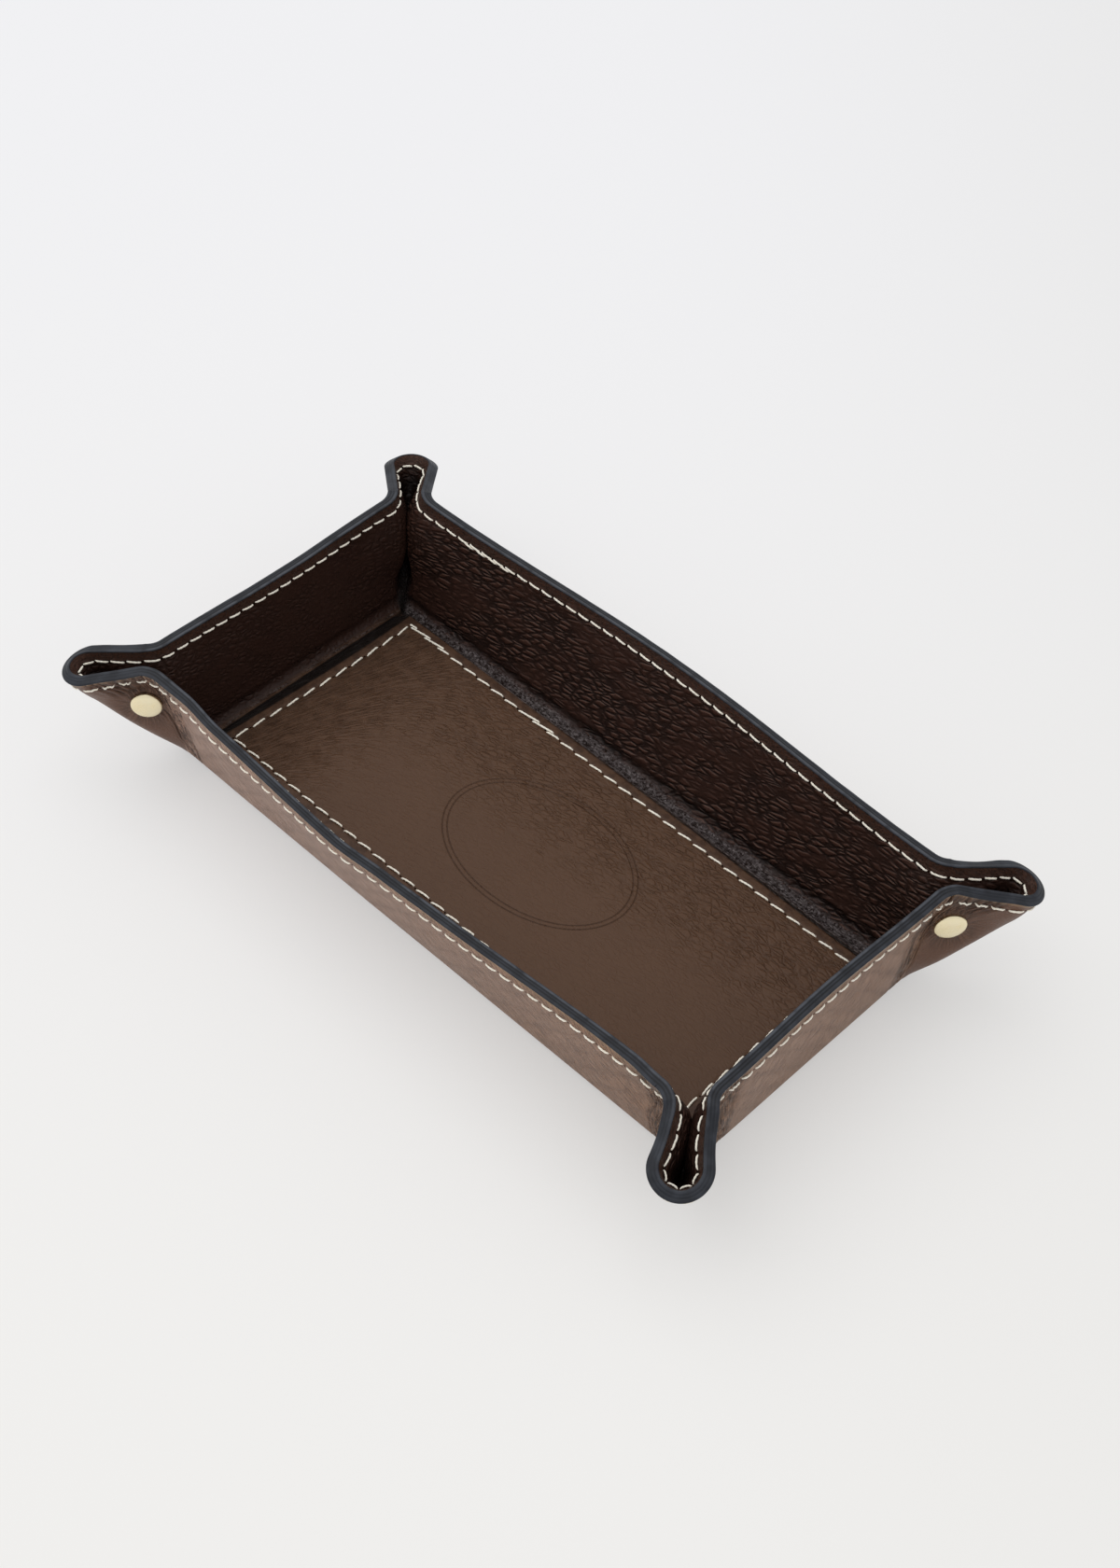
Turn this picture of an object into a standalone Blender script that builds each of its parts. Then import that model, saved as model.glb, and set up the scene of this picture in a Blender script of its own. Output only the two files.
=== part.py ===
"""Leather catch-all tray: a stitched leather sandwich folded up round a stiff base
board, with its four corners pinched into open ears by double-cap rivets.

Everything is in metres, +Z up, +X along the long side. The origin is on the flat
underside, where the middle lines of the long and short walls cross. The walls and
ears are one sheet of leather sandwich. Its inner face is worked out first, and
every other face of the sandwich lies outside that one by a named thickness.
"""
import math

import bmesh
import bpy
import numpy as np
from mathutils import Matrix, Vector

# The sandwich, from the outside in, and what holds it together.
OUTER_LEATHER_THICKNESS = 0.0009
REINFORCEMENT_THICKNESS = 0.0006
LINING_THICKNESS = 0.0009
GLUE_LINE = 0.00015
EDGE_PAINT_SEAT = 0.0003
EDGE_PAINT_THICKNESS = 0.0004
EDGE_PAINT_SHOULDER = 0.00022
EDGE_PAINT_INSET = 0.0003

# The stiff board under the lining, and the soft band that folds round it.
BOARD_THICKNESS = 0.0012
BOARD_CLEARANCE = 0.0003
BOARD_CORNER_RADIUS = 0.0026
CREASE_BAND_WIDTH = 0.0050

# The foot of the walls, measured on the inner face.
FOLD_HALF_LENGTH = 0.0865
FOLD_HALF_WIDTH = 0.0372
FOLD_CORNER_RADIUS = 0.0032
FOLD_INSIDE_RADIUS = 0.0025

# The rim, measured on the outer face. The long walls belly out in the middle.
RIM_HALF_LENGTH = 0.0934
RIM_HALF_WIDTH = 0.0470
LONG_WALL_BELLY = 0.0036
SHORT_WALL_DRAW = 0.0009
RIM_HEIGHT_AT_MIDDLE = 0.0341
RIM_HEIGHT_AT_THROAT = 0.0342

# The pinched ears. Each was formed by hand, so each has its own turn away from the
# long side, reach to the middle of its nose, nose radius, drop to its tip, spread
# of each flank away from the ear's middle plane, and bow of its lower side.
THROAT_RADIUS = 0.0055
EARS = {
    "right": {"side": (1, 1), "turn": math.radians(52.0), "reach": 0.0164,
              "nose_radius": 0.0068, "tip_drop": 0.0049, "spread": math.radians(5.7),
              "keel_bow": 0.0024},
    "back": {"side": (-1, 1), "turn": math.radians(45.0), "reach": 0.0144,
             "nose_radius": 0.0072, "tip_drop": 0.0034, "spread": math.radians(6.5),
             "keel_bow": 0.0018},
    "left": {"side": (-1, -1), "turn": math.radians(44.4), "reach": 0.0146,
             "nose_radius": 0.0066, "tip_drop": 0.0027, "spread": math.radians(6.5),
             "keel_bow": 0.0019},
    "front": {"side": (1, -1), "turn": math.radians(57.0), "reach": 0.0134,
              "nose_radius": 0.0073, "tip_drop": 0.0063, "spread": math.radians(7.0),
              "keel_bow": 0.0020},
}

# The double-cap rivets that hold the ears pinched.
RIVET_CAP_RADIUS = 0.0040
RIVET_CAP_HEIGHT = 0.0013
RIVET_CAP_EDGE_HEIGHT = 0.0004
RIVET_POST_RADIUS = 0.0013
RIVET_POST_ENTRY = 0.0005
RIVET_SOCKET_DEPTH = 0.0007
RIVET_HOLE_CLEARANCE = 0.0003
RIVET_SEAT_CLEARANCE = 0.0003
RIVET_HEIGHT = 0.0208
RIVET_SETBACK = 0.0038
PINCH_HALF_GAP = 0.00015
PINCH_FLAT_MARGIN = 0.0012
PINCH_REACH_UP = 0.0080
PINCH_REACH_ALONG = 0.0120
CUT_OVERRUN = 0.0006

# How finely each stretch of the perimeter and of the wall's height is divided.
LONG_WALL_STEPS = 3
SHORT_WALL_STEPS = 2
THROAT_STEPS = 3
FLANK_STEPS = 2
NOSE_STEPS = 6
FOLD_STEPS = 2
WALL_ROW_SHARES = (0.15, 0.30, 0.43, 0.56, 0.68, 0.81, 1.0)
RIVET_SEGMENTS = 16
HOLE_SEGMENTS = 10
CAP_DOME_SHARES = ((0.50, 0.90), (0.84, 0.58))

FIBRE, TAUPE, BROWN = "bonded_fibre", "taupe_leather", "brown_leather"
BOARD, PAINT, BRASS = "grey_board", "edge_paint", "pale_brass"
FINISHES = {
    TAUPE: ((0.215, 0.150, 0.118, 1.0), 0.55, 0.0),
    BROWN: ((0.060, 0.034, 0.024, 1.0), 0.50, 0.0),
    FIBRE: ((0.30, 0.20, 0.13, 1.0), 0.85, 0.0),
    BOARD: ((0.35, 0.33, 0.30, 1.0), 0.90, 0.0),
    PAINT: ((0.040, 0.042, 0.050, 1.0), 0.35, 0.0),
    BRASS: ((0.80, 0.70, 0.42, 1.0), 0.30, 1.0),
}

LAMINATE = OUTER_LEATHER_THICKNESS + REINFORCEMENT_THICKNESS + LINING_THICKNESS + 2 * GLUE_LINE
REINFORCEMENT_TOP = LINING_THICKNESS + GLUE_LINE
REINFORCEMENT_UNDERSIDE = REINFORCEMENT_TOP + REINFORCEMENT_THICKNESS
OUTER_LEATHER_TOP = REINFORCEMENT_UNDERSIDE + GLUE_LINE
INNER_CORNER = np.array([RIM_HALF_LENGTH - LAMINATE, RIM_HALF_WIDTH - LAMINATE])


def clear_scene():
    for obj in list(bpy.data.objects):
        bpy.data.objects.remove(obj, do_unlink=True)


def make_material(name):
    colour, roughness, metallic = FINISHES[name]
    material = bpy.data.materials.get(name) or bpy.data.materials.new(name)
    material.use_nodes = True
    shader = material.node_tree.nodes["Principled BSDF"]
    shader.inputs["Base Color"].default_value = colour
    shader.inputs["Roughness"].default_value = roughness
    shader.inputs["Metallic"].default_value = metallic
    return material


def add_object(name, bm, finish):
    """Turn a finished bmesh into a named object with its own material."""
    bmesh.ops.recalc_face_normals(bm, faces=bm.faces)
    mesh = bpy.data.meshes.new(name)
    bm.to_mesh(mesh)
    bm.free()
    mesh.shade_smooth()
    mesh.set_sharp_from_angle(angle=math.radians(40))
    mesh.materials.append(make_material(finish))
    obj = bpy.data.objects.new(name, mesh)
    bpy.context.collection.objects.link(obj)
    return obj


def turned(direction, angle):
    """A direction in plan, turned anticlockwise by an angle."""
    cosine, sine = math.cos(angle), math.sin(angle)
    return np.array([direction[0] * cosine - direction[1] * sine,
                     direction[0] * sine + direction[1] * cosine])


def ear_axis(ear):
    return turned((1.0, 0.0), ear["turn"])


def arc_points(start, start_heading, end, end_heading, steps):
    """Points after start on the arc that leaves and arrives along two headings."""
    turn = math.acos(max(-1.0, min(1.0, float(start_heading @ end_heading))))
    sense = math.copysign(1.0, start_heading[0] * end_heading[1]
                          - start_heading[1] * end_heading[0])
    radius = np.linalg.norm(end - start) / (2 * math.sin(turn / 2))
    centre = start + sense * radius * turned(start_heading, math.pi / 2)
    return [centre + turned(start - centre, sense * turn * k / steps)
            for k in range(1, steps + 1)]


def straight_points(start, end, steps):
    return [start + (end - start) * k / steps for k in range(1, steps + 1)]


def flank(ear, sense):
    """One flank of an ear's inner rim, as foot, neck, nose point and heading.

    sense is 1 for the flank that grows out of the long wall, -1 for the other.
    The foot is where the throat arc leaves the wall, and the neck where it ends.
    """
    axis = ear_axis(ear)
    wall_heading = np.array([1.0, 0.0]) if sense > 0 else np.array([0.0, 1.0])
    heading = turned(axis, sense * ear["spread"])
    outward = turned(heading, sense * math.pi / 2)
    nose_radius = ear["nose_radius"] - LAMINATE
    nose_point = INNER_CORNER + ear["reach"] * axis + nose_radius * outward
    lines = np.column_stack([-heading, -wall_heading])
    back, _ = np.linalg.solve(lines, INNER_CORNER - nose_point)
    corner = nose_point - back * heading
    turn = math.acos(float(heading @ wall_heading))
    tangent = (THROAT_RADIUS + LAMINATE) * math.tan(turn / 2)
    return corner - tangent * wall_heading, corner + tangent * heading, nose_point, heading


def ear_rim(ear):
    """The inner rim of an ear, from its foot on the long wall to the other foot."""
    long_foot, long_neck, long_nose, long_heading = flank(ear, 1)
    short_foot, short_neck, short_nose, short_heading = flank(ear, -1)
    nose = INNER_CORNER + ear["reach"] * ear_axis(ear)
    sweep = -(math.pi + 2 * ear["spread"])
    points = [long_foot]
    points += arc_points(long_foot, np.array([1.0, 0.0]), long_neck, long_heading, THROAT_STEPS)
    points += straight_points(long_neck, long_nose, FLANK_STEPS)
    points += [nose + turned(long_nose - nose, sweep * k / NOSE_STEPS)
               for k in range(1, NOSE_STEPS + 1)]
    points += straight_points(short_nose, short_neck, FLANK_STEPS)
    points += arc_points(short_neck, -short_heading, short_foot, np.array([0.0, -1.0]),
                         THROAT_STEPS)
    return points


def quadrant_rim(ear):
    """Inner rim of a quadrant, from the long wall's middle to the short wall's.

    Each point has a place: 0 to 1 along the long wall, 1 to 2 round the ear, and
    2 to 3 along the short wall.
    """
    ear_points = ear_rim(ear)
    lengths = np.linalg.norm(np.diff(ear_points, axis=0), axis=1)
    ear_places = 1 + np.concatenate([[0.0], np.cumsum(lengths)]) / lengths.sum()
    points, places = [], []
    for k in range(LONG_WALL_STEPS):
        share = k / LONG_WALL_STEPS
        belly = LONG_WALL_BELLY * math.cos(share * math.pi / 2) ** 2
        points.append(np.array([ear_points[0][0] * share, INNER_CORNER[1] + belly]))
        places.append(share)
    points += ear_points
    places += list(ear_places)
    for k in range(1, SHORT_WALL_STEPS + 1):
        share = 1 - k / SHORT_WALL_STEPS
        draw = SHORT_WALL_DRAW * math.cos(share * math.pi / 2) ** 2
        points.append(np.array([INNER_CORNER[0] - draw, ear_points[-1][1] * share]))
        places.append(3 - share)
    return points, places


def share_along_ear(ear, point):
    """How far a point of the rim lies from the corner, as a share of the ear."""
    tip = ear["reach"] + ear["nose_radius"] - LAMINATE
    return max(0.0, float((point - INNER_CORNER) @ ear_axis(ear))) / tip


def rim_height(ear, point, place):
    """Height of the rim: nearly level along the walls, falling to the ear's tip."""
    along_wall = min(1.0, place, 3 - place)
    rise = (RIM_HEIGHT_AT_THROAT - RIM_HEIGHT_AT_MIDDLE) * along_wall ** 2
    return RIM_HEIGHT_AT_MIDDLE + rise - ear["tip_drop"] * share_along_ear(ear, point)


def keel_bow(ear, point, up):
    """How far the middle of a wall section bows out: most under the ear's tip."""
    axis = np.append(ear_axis(ear), 0.0)
    out = axis - up * float(axis @ up)
    return ear["keel_bow"] * share_along_ear(ear, point) ** 2 * out / np.linalg.norm(out)


def rounded_corner(half_length, half_width, radius, place):
    """A quadrant of a rounded rectangle at a place, with its outward normal."""
    if place <= 1:
        return np.array([(half_length - radius) * place, half_width]), np.array([0.0, 1.0])
    if place >= 2:
        return np.array([half_length, (half_width - radius) * (3 - place)]), np.array([1.0, 0.0])
    normal = turned((0.0, 1.0), -(place - 1) * math.pi / 2)
    return np.array([half_length - radius, half_width - radius]) + radius * normal, normal


def wall_section(ear, point, place):
    """The inner face above one point of the perimeter, from the floor to the rim."""
    fold, normal = rounded_corner(FOLD_HALF_LENGTH, FOLD_HALF_WIDTH, FOLD_CORNER_RADIUS, place)
    floor = np.append(fold - normal * FOLD_INSIDE_RADIUS, LAMINATE)
    bend = np.append(fold, LAMINATE)
    rim = np.append(point, rim_height(ear, point, place))
    up = (rim - bend) / np.linalg.norm(rim - bend)
    wall_foot = bend + up * FOLD_INSIDE_RADIUS
    section = [floor]
    for k in range(1, FOLD_STEPS + 1):
        t = k / FOLD_STEPS
        section.append((1 - t) ** 2 * floor + 2 * t * (1 - t) * bend + t * t * wall_foot)
    bow = keel_bow(ear, point, up)
    section += [wall_foot + (rim - wall_foot) * share + bow * math.sin(math.pi * share)
                for share in WALL_ROW_SHARES]
    return section


def rivet_centre(ear):
    """Middle of a rivet, in its own quadrant: a setback outside the wall's corner."""
    share = RIVET_HEIGHT / RIM_HEIGHT_AT_THROAT
    foot = np.array([FOLD_HALF_LENGTH, FOLD_HALF_WIDTH])
    corner = foot + (INNER_CORNER - foot) * share
    return np.append(corner + ear_axis(ear) * RIVET_SETBACK, RIVET_HEIGHT)


def free_half_widths(aside):
    """How far each point of a quadrant's face would stand from the ear's middle
    plane if it weren't pinched: along the walls, as far as the ear's neck does.
    """
    long_neck = LONG_WALL_STEPS + THROAT_STEPS
    long_nose = long_neck + FLANK_STEPS
    short_nose = long_nose + NOSE_STEPS
    short_neck = short_nose + FLANK_STEPS
    free = np.abs(aside)
    free[:long_neck] = free[long_neck]
    free[short_neck + 1:] = free[short_neck]
    for k in range(long_nose + 1, short_nose):
        share = (k - long_nose) / NOSE_STEPS
        free[k] = free[long_nose] * (1 - share) + free[short_nose] * share
    return free


def pinch(ear, grid):
    """Press a quadrant's inner face towards the ear's middle plane round its rivet.

    Within the cap's radius each flank becomes a flat plane, close to the other
    one. The fold of the nose beyond it becomes tight, and the walls are drawn in.
    """
    axis = np.append(ear_axis(ear), 0.0)
    across = np.append(turned(ear_axis(ear), math.pi / 2), 0.0)
    offset = grid - rivet_centre(ear)
    along, aside = offset @ axis, offset @ across
    away = np.hypot(along, offset[..., 2])
    flat = RIVET_CAP_RADIUS + PINCH_FLAT_MARGIN
    level_share = (along / away) ** 2
    reach = PINCH_REACH_UP + (PINCH_REACH_ALONG - PINCH_REACH_UP) * level_share
    fade = np.clip((away - flat) / reach, 0.0, 1.0)
    grip = 1 - fade * fade * (3 - 2 * fade)
    free = free_half_widths(aside)
    beyond = np.maximum(np.abs(aside) - free, 0.0)
    turn_in = np.clip(np.abs(aside) / free, 0.0, 1.0)
    bow = np.clip(free / PINCH_HALF_GAP * (1 - np.sqrt(1 - turn_in ** 2)), 0.0, 1.0)
    pressed = np.sign(aside) * (PINCH_HALF_GAP * np.sqrt(bow * (2 - bow)) + beyond)
    return grid + (grip * (pressed - aside))[..., None] * across


def quadrant_face(ear):
    """The inner face of a quadrant, as stations by rows, from long to short wall."""
    points, places = quadrant_rim(ear)
    sections = [wall_section(ear, point, place) for point, place in zip(points, places)]
    return pinch(ear, np.array(sections))


def in_turn(ear, stations):
    """A quadrant's stations in its place on the tray, anticlockwise, less the last."""
    placed = mirrored(np.array(stations), ear["side"])
    if ear["side"][0] == ear["side"][1]:
        placed = placed[::-1]
    return placed[:-1]


def outward_normals(grid):
    """Unit normals of the inner face, pointing out of the tray and down below it."""
    along = np.roll(grid, -1, axis=0) - np.roll(grid, 1, axis=0)
    up = np.gradient(grid, axis=1)
    normals = np.cross(along, up)
    normals /= np.linalg.norm(normals, axis=2, keepdims=True)
    normals[:, 0] = (0.0, 0.0, -1.0)
    return normals


def mirrored(grid, side):
    return grid * np.array([side[0], side[1], 1.0])


def inner_face():
    """The lining's face, as stations anticlockwise from the +X wall's middle."""
    return np.concatenate([in_turn(ear, quadrant_face(ear)) for ear in EARS.values()])


def wall_face(depth):
    """The sandwich's face that lies at a depth outside the lining's face."""
    inner = inner_face()
    return inner + depth * outward_normals(inner)


def ring_at(half_length, half_width, radius, height):
    """A rounded rectangle with one point for each station of the perimeter."""
    rings = []
    for ear in EARS.values():
        corners = [rounded_corner(half_length, half_width, radius, place)[0]
                   for place in quadrant_rim(ear)[1]]
        rings.append(in_turn(ear, [np.append(point, height) for point in corners]))
    return np.concatenate(rings)


def board_ring(margin, height):
    """The board's outline grown by a margin, at a height."""
    return ring_at(FOLD_HALF_LENGTH - CREASE_BAND_WIDTH + margin,
                   FOLD_HALF_WIDTH - CREASE_BAND_WIDTH + margin,
                   BOARD_CORNER_RADIUS + margin, height)


def rings_of(face):
    return [face[:, row] for row in range(face.shape[1])]


def bridge(bm, lower, upper, rising):
    """Join two rings with triangles. Every face of the sandwich is split along
    the same diagonal, from a lower row to a higher one, so that no two cross.
    """
    for k in range(len(lower)):
        after = (k + 1) % len(lower)
        if rising:
            bm.faces.new((lower[k], upper[k], upper[after]))
            bm.faces.new((lower[k], upper[after], lower[after]))
        else:
            bm.faces.new((lower[k], upper[k], lower[after]))
            bm.faces.new((upper[k], upper[after], lower[after]))


def skin(name, top, underside, finish):
    """A sheet from its two faces, each a list of rings from the middle outwards."""
    bm = bmesh.new()
    top_loops = [[bm.verts.new(point) for point in ring] for ring in top]
    under_loops = [[bm.verts.new(point) for point in ring] for ring in underside]
    bm.faces.new(top_loops[0])
    bm.faces.new(list(reversed(under_loops[0])))
    for lower, upper in zip(top_loops, top_loops[1:]):
        bridge(bm, lower, upper, True)
    bridge(bm, top_loops[-1], under_loops[-1], True)
    for lower, upper in zip(under_loops, under_loops[1:]):
        bridge(bm, upper, lower, False)
    return add_object(name, bm, finish)


def make_outer_leather():
    return skin("outer_leather", rings_of(wall_face(OUTER_LEATHER_TOP)),
                rings_of(wall_face(LAMINATE)), TAUPE)


def make_reinforcement():
    return skin("reinforcement_sheet", rings_of(wall_face(REINFORCEMENT_TOP)),
                rings_of(wall_face(REINFORCEMENT_UNDERSIDE)), FIBRE)


def make_lining():
    """The lining lies on the crease band, climbs the board's edge and covers it."""
    under = LAMINATE - LINING_THICKNESS
    step = BOARD_THICKNESS + GLUE_LINE
    top = [board_ring(BOARD_CLEARANCE, LAMINATE + step),
           board_ring(BOARD_CLEARANCE + LINING_THICKNESS, LAMINATE)]
    underside = [board_ring(BOARD_CLEARANCE, under + step), board_ring(BOARD_CLEARANCE, under)]
    return skin("lining_leather", top + rings_of(wall_face(0.0)),
                underside + rings_of(wall_face(LINING_THICKNESS)), BROWN)


def make_board():
    under = LAMINATE - LINING_THICKNESS
    return skin("base_board", [board_ring(0.0, under + BOARD_THICKNESS)],
                [board_ring(0.0, under)], BOARD)


def make_edge_paint():
    """The painted edge: a low rounded bead along the whole cut rim."""
    inner, outer = wall_face(0.0), wall_face(LAMINATE)
    up = inner[:, -1] - inner[:, -2]
    up /= np.linalg.norm(up, axis=1, keepdims=True)
    section = [(0.0, 0.0), (0.0, EDGE_PAINT_SHOULDER), (EDGE_PAINT_INSET, EDGE_PAINT_THICKNESS),
               (LAMINATE - EDGE_PAINT_INSET, EDGE_PAINT_THICKNESS),
               (LAMINATE, EDGE_PAINT_SHOULDER), (LAMINATE, 0.0)]
    bm = bmesh.new()
    loops = []
    for across, height in section:
        place = inner[:, -1] + (outer[:, -1] - inner[:, -1]) * across / LAMINATE
        loops.append([bm.verts.new(point) for point in place + up * (EDGE_PAINT_SEAT + height)])
    for lower, upper in zip(loops, loops[1:] + loops[:1]):
        bridge(bm, lower, upper, True)
    return add_object("rim_edge_paint", bm, PAINT)


def lathe(profile, segments):
    """Turn a profile of radius and height about Z. Its ends lie on the axis."""
    bm = bmesh.new()
    first = bm.verts.new((0.0, 0.0, profile[0][1]))
    last = bm.verts.new((0.0, 0.0, profile[-1][1]))
    loops = []
    for radius, height in profile[1:-1]:
        angles = [2 * math.pi * k / segments for k in range(segments)]
        loops.append([bm.verts.new((radius * math.cos(a), radius * math.sin(a), height))
                      for a in angles])
    for k in range(segments):
        after = (k + 1) % segments
        bm.faces.new((first, loops[0][k], loops[0][after]))
        bm.faces.new((last, loops[-1][after], loops[-1][k]))
        for upper, lower in zip(loops, loops[1:]):
            bm.faces.new((upper[k], lower[k], lower[after], upper[after]))
    return bm


def rivet_frame(ear, sense):
    """Where a cap sits: on a flank, its own Z pointing out along the rivet."""
    centre = Vector(mirrored(rivet_centre(ear), ear["side"]))
    across = turned(ear_axis(ear), math.pi / 2) * np.array(ear["side"]) * sense
    out = Vector((across[0], across[1], 0.0))
    seat = PINCH_HALF_GAP + LAMINATE + RIVET_SEAT_CLEARANCE
    turn = out.to_track_quat("Z", "Y").to_matrix().to_4x4()
    return Matrix.Translation(centre + out * seat) @ turn


def cap_profile():
    dome = [(0.0, RIVET_CAP_HEIGHT)]
    dome += [(RIVET_CAP_RADIUS * across, RIVET_CAP_HEIGHT * up) for across, up in CAP_DOME_SHARES]
    return dome + [(RIVET_CAP_RADIUS, RIVET_CAP_EDGE_HEIGHT), (RIVET_CAP_RADIUS, 0.0)]


def make_rivet(name, ear):
    """One double-cap rivet: a cap with a post, and the cap that it is pressed into."""
    grip = 2 * (PINCH_HALF_GAP + LAMINATE + RIVET_SEAT_CLEARANCE)
    tip = -(grip + RIVET_POST_ENTRY)
    post = cap_profile() + [(RIVET_POST_RADIUS, 0.0), (RIVET_POST_RADIUS, tip), (0.0, tip)]
    post_cap = add_object(f"rivet_{name}_post_cap", lathe(post, RIVET_SEGMENTS), BRASS)
    post_cap.matrix_world = rivet_frame(ear, 1)
    bore = RIVET_POST_RADIUS + RIVET_HOLE_CLEARANCE
    socket = cap_profile() + [(bore, 0.0), (bore, RIVET_SOCKET_DEPTH), (0.0, RIVET_SOCKET_DEPTH)]
    socket_cap = add_object(f"rivet_{name}_socket_cap", lathe(socket, RIVET_SEGMENTS), BRASS)
    socket_cap.matrix_world = rivet_frame(ear, -1)


def make_rivet_cutter(name, ear):
    """The punch for a rivet's hole, right through both flanks of its ear."""
    half = PINCH_HALF_GAP + LAMINATE + CUT_OVERRUN
    radius = RIVET_POST_RADIUS + RIVET_HOLE_CLEARANCE
    profile = [(0.0, half), (radius, half), (radius, -half), (0.0, -half)]
    cutter = add_object(f"{name}_hole_cutter", lathe(profile, HOLE_SEGMENTS), BRASS)
    out = rivet_frame(ear, 1).to_3x3() @ Vector((0.0, 0.0, 1.0))
    centre = Vector(mirrored(rivet_centre(ear), ear["side"]))
    turn = out.to_track_quat("Z", "Y").to_matrix().to_4x4()
    cutter.matrix_world = Matrix.Translation(centre) @ turn
    cutter.hide_render = True
    cutter.display_type = "WIRE"
    return cutter


def punch(sheet, cutter):
    cut = sheet.modifiers.new(cutter.name, "BOOLEAN")
    cut.operation = "DIFFERENCE"
    cut.object = cutter


def main():
    clear_scene()
    sheets = [make_outer_leather(), make_reinforcement(), make_lining()]
    make_board()
    make_edge_paint()
    for name, ear in EARS.items():
        make_rivet(name, ear)
        cutter = make_rivet_cutter(name, ear)
        for sheet in sheets:
            punch(sheet, cutter)


main()
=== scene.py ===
"""Looks of the leather catch-all tray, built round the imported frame.

Everything is in metres, +Z up, +X along the long side, as in the part's source. The
leather sheets are made again from the same sizes, with finer steps, so that their
creases, pressed lines, seams and soft folds are real shape.
"""
import math
from types import SimpleNamespace

import bpy
import numpy as np
from mathutils import Matrix, Vector


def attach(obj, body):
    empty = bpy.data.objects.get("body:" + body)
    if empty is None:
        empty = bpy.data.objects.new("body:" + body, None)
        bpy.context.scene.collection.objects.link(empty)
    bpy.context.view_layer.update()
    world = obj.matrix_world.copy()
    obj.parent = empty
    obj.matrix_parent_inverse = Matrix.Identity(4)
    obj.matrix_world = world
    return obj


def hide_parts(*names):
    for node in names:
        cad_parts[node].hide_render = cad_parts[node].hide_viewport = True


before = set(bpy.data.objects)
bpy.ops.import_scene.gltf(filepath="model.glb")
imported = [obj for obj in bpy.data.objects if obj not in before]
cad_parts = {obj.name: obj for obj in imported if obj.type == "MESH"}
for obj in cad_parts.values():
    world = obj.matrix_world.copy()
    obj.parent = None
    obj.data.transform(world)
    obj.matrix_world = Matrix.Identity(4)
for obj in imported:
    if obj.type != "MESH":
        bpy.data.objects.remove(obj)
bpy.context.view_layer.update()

# The sandwich and the base board, as the frame has them.
OUTER_LEATHER_THICKNESS = 0.0009
LINING_THICKNESS = 0.0009
REINFORCEMENT_THICKNESS = 0.0006
GLUE_LINE = 0.00015
BOARD_THICKNESS = 0.0012
BOARD_CLEARANCE = 0.0003
BOARD_CORNER_RADIUS = 0.0026
CREASE_BAND_WIDTH = 0.0050
EDGE_PAINT_SEAT = 0.0003
EDGE_PAINT_THICKNESS = 0.0004

# The foot of the walls and the rim.
FOLD_HALF_LENGTH = 0.0865
FOLD_HALF_WIDTH = 0.0372
FOLD_CORNER_RADIUS = 0.0032
FOLD_INSIDE_RADIUS = 0.0025
RIM_HALF_LENGTH = 0.0934
RIM_HALF_WIDTH = 0.0470
LONG_WALL_BELLY = 0.0036
SHORT_WALL_DRAW = 0.0009
RIM_HEIGHT_AT_MIDDLE = 0.0341
RIM_HEIGHT_AT_THROAT = 0.0342

# The ears, each as it was formed by hand.
THROAT_RADIUS = 0.0055
EARS = {
    "right": {"side": (1, 1), "turn": math.radians(52.0), "reach": 0.0164,
              "nose_radius": 0.0068, "tip_drop": 0.0049, "spread": math.radians(5.7),
              "keel_bow": 0.0024, "nose_flare": 0.0003},
    "back": {"side": (-1, 1), "turn": math.radians(45.0), "reach": 0.0144,
             "nose_radius": 0.0072, "tip_drop": 0.0034, "spread": math.radians(6.5),
             "keel_bow": 0.0018, "nose_flare": 0.00055},
    "left": {"side": (-1, -1), "turn": math.radians(44.4), "reach": 0.0146,
             "nose_radius": 0.0066, "tip_drop": 0.0027, "spread": math.radians(6.5),
             "keel_bow": 0.0019, "nose_flare": 0.0003},
    "front": {"side": (1, -1), "turn": math.radians(57.0), "reach": 0.0134,
              "nose_radius": 0.0073, "tip_drop": 0.0063, "spread": math.radians(7.0),
              "keel_bow": 0.0020, "nose_flare": 0.0},
}

# The rivets and the pinch that they make.
RIVET_CAP_RADIUS = 0.0040
RIVET_CAP_HEIGHT = 0.0013
RIVET_CAP_EDGE_HEIGHT = 0.0004
RIVET_POST_RADIUS = 0.0013
RIVET_POST_ENTRY = 0.0005
RIVET_SEAT_CLEARANCE = 0.0003
RIVET_HEIGHT = 0.0208
RIVET_SETBACK = 0.0038
PINCH_HALF_GAP = 0.00015
PINCH_FLAT_MARGIN = 0.0012
PINCH_REACH_UP = 0.0080
PINCH_REACH_ALONG = 0.0120

# How finely the sheets are divided.
LONG_WALL_STEPS = 150
SHORT_WALL_STEPS = 46
WALL_STEP_CROWDING = 1.6
THROAT_STEPS = 40
FLANK_STEPS = 30
NOSE_STEPS = 32
FOLD_STEPS = 11
LOW_WALL_SHARE = 0.16
LOW_WALL_ROWS = 14
HIGH_WALL_ROWS = 32
HIDDEN_ROW_STRIDE = 5

LAMINATE = OUTER_LEATHER_THICKNESS + REINFORCEMENT_THICKNESS + LINING_THICKNESS + 2 * GLUE_LINE
OUTER_LEATHER_TOP = LAMINATE - OUTER_LEATHER_THICKNESS
PANEL_HEIGHT = LAMINATE + BOARD_THICKNESS + GLUE_LINE
INNER_CORNER = np.array([RIM_HALF_LENGTH - LAMINATE, RIM_HALF_WIDTH - LAMINATE])
WALL_ROW_SHARES = np.concatenate([
    np.linspace(0, LOW_WALL_SHARE, LOW_WALL_ROWS + 1)[1:],
    np.linspace(LOW_WALL_SHARE, 1, HIGH_WALL_ROWS + 1)[1:]])

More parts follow.
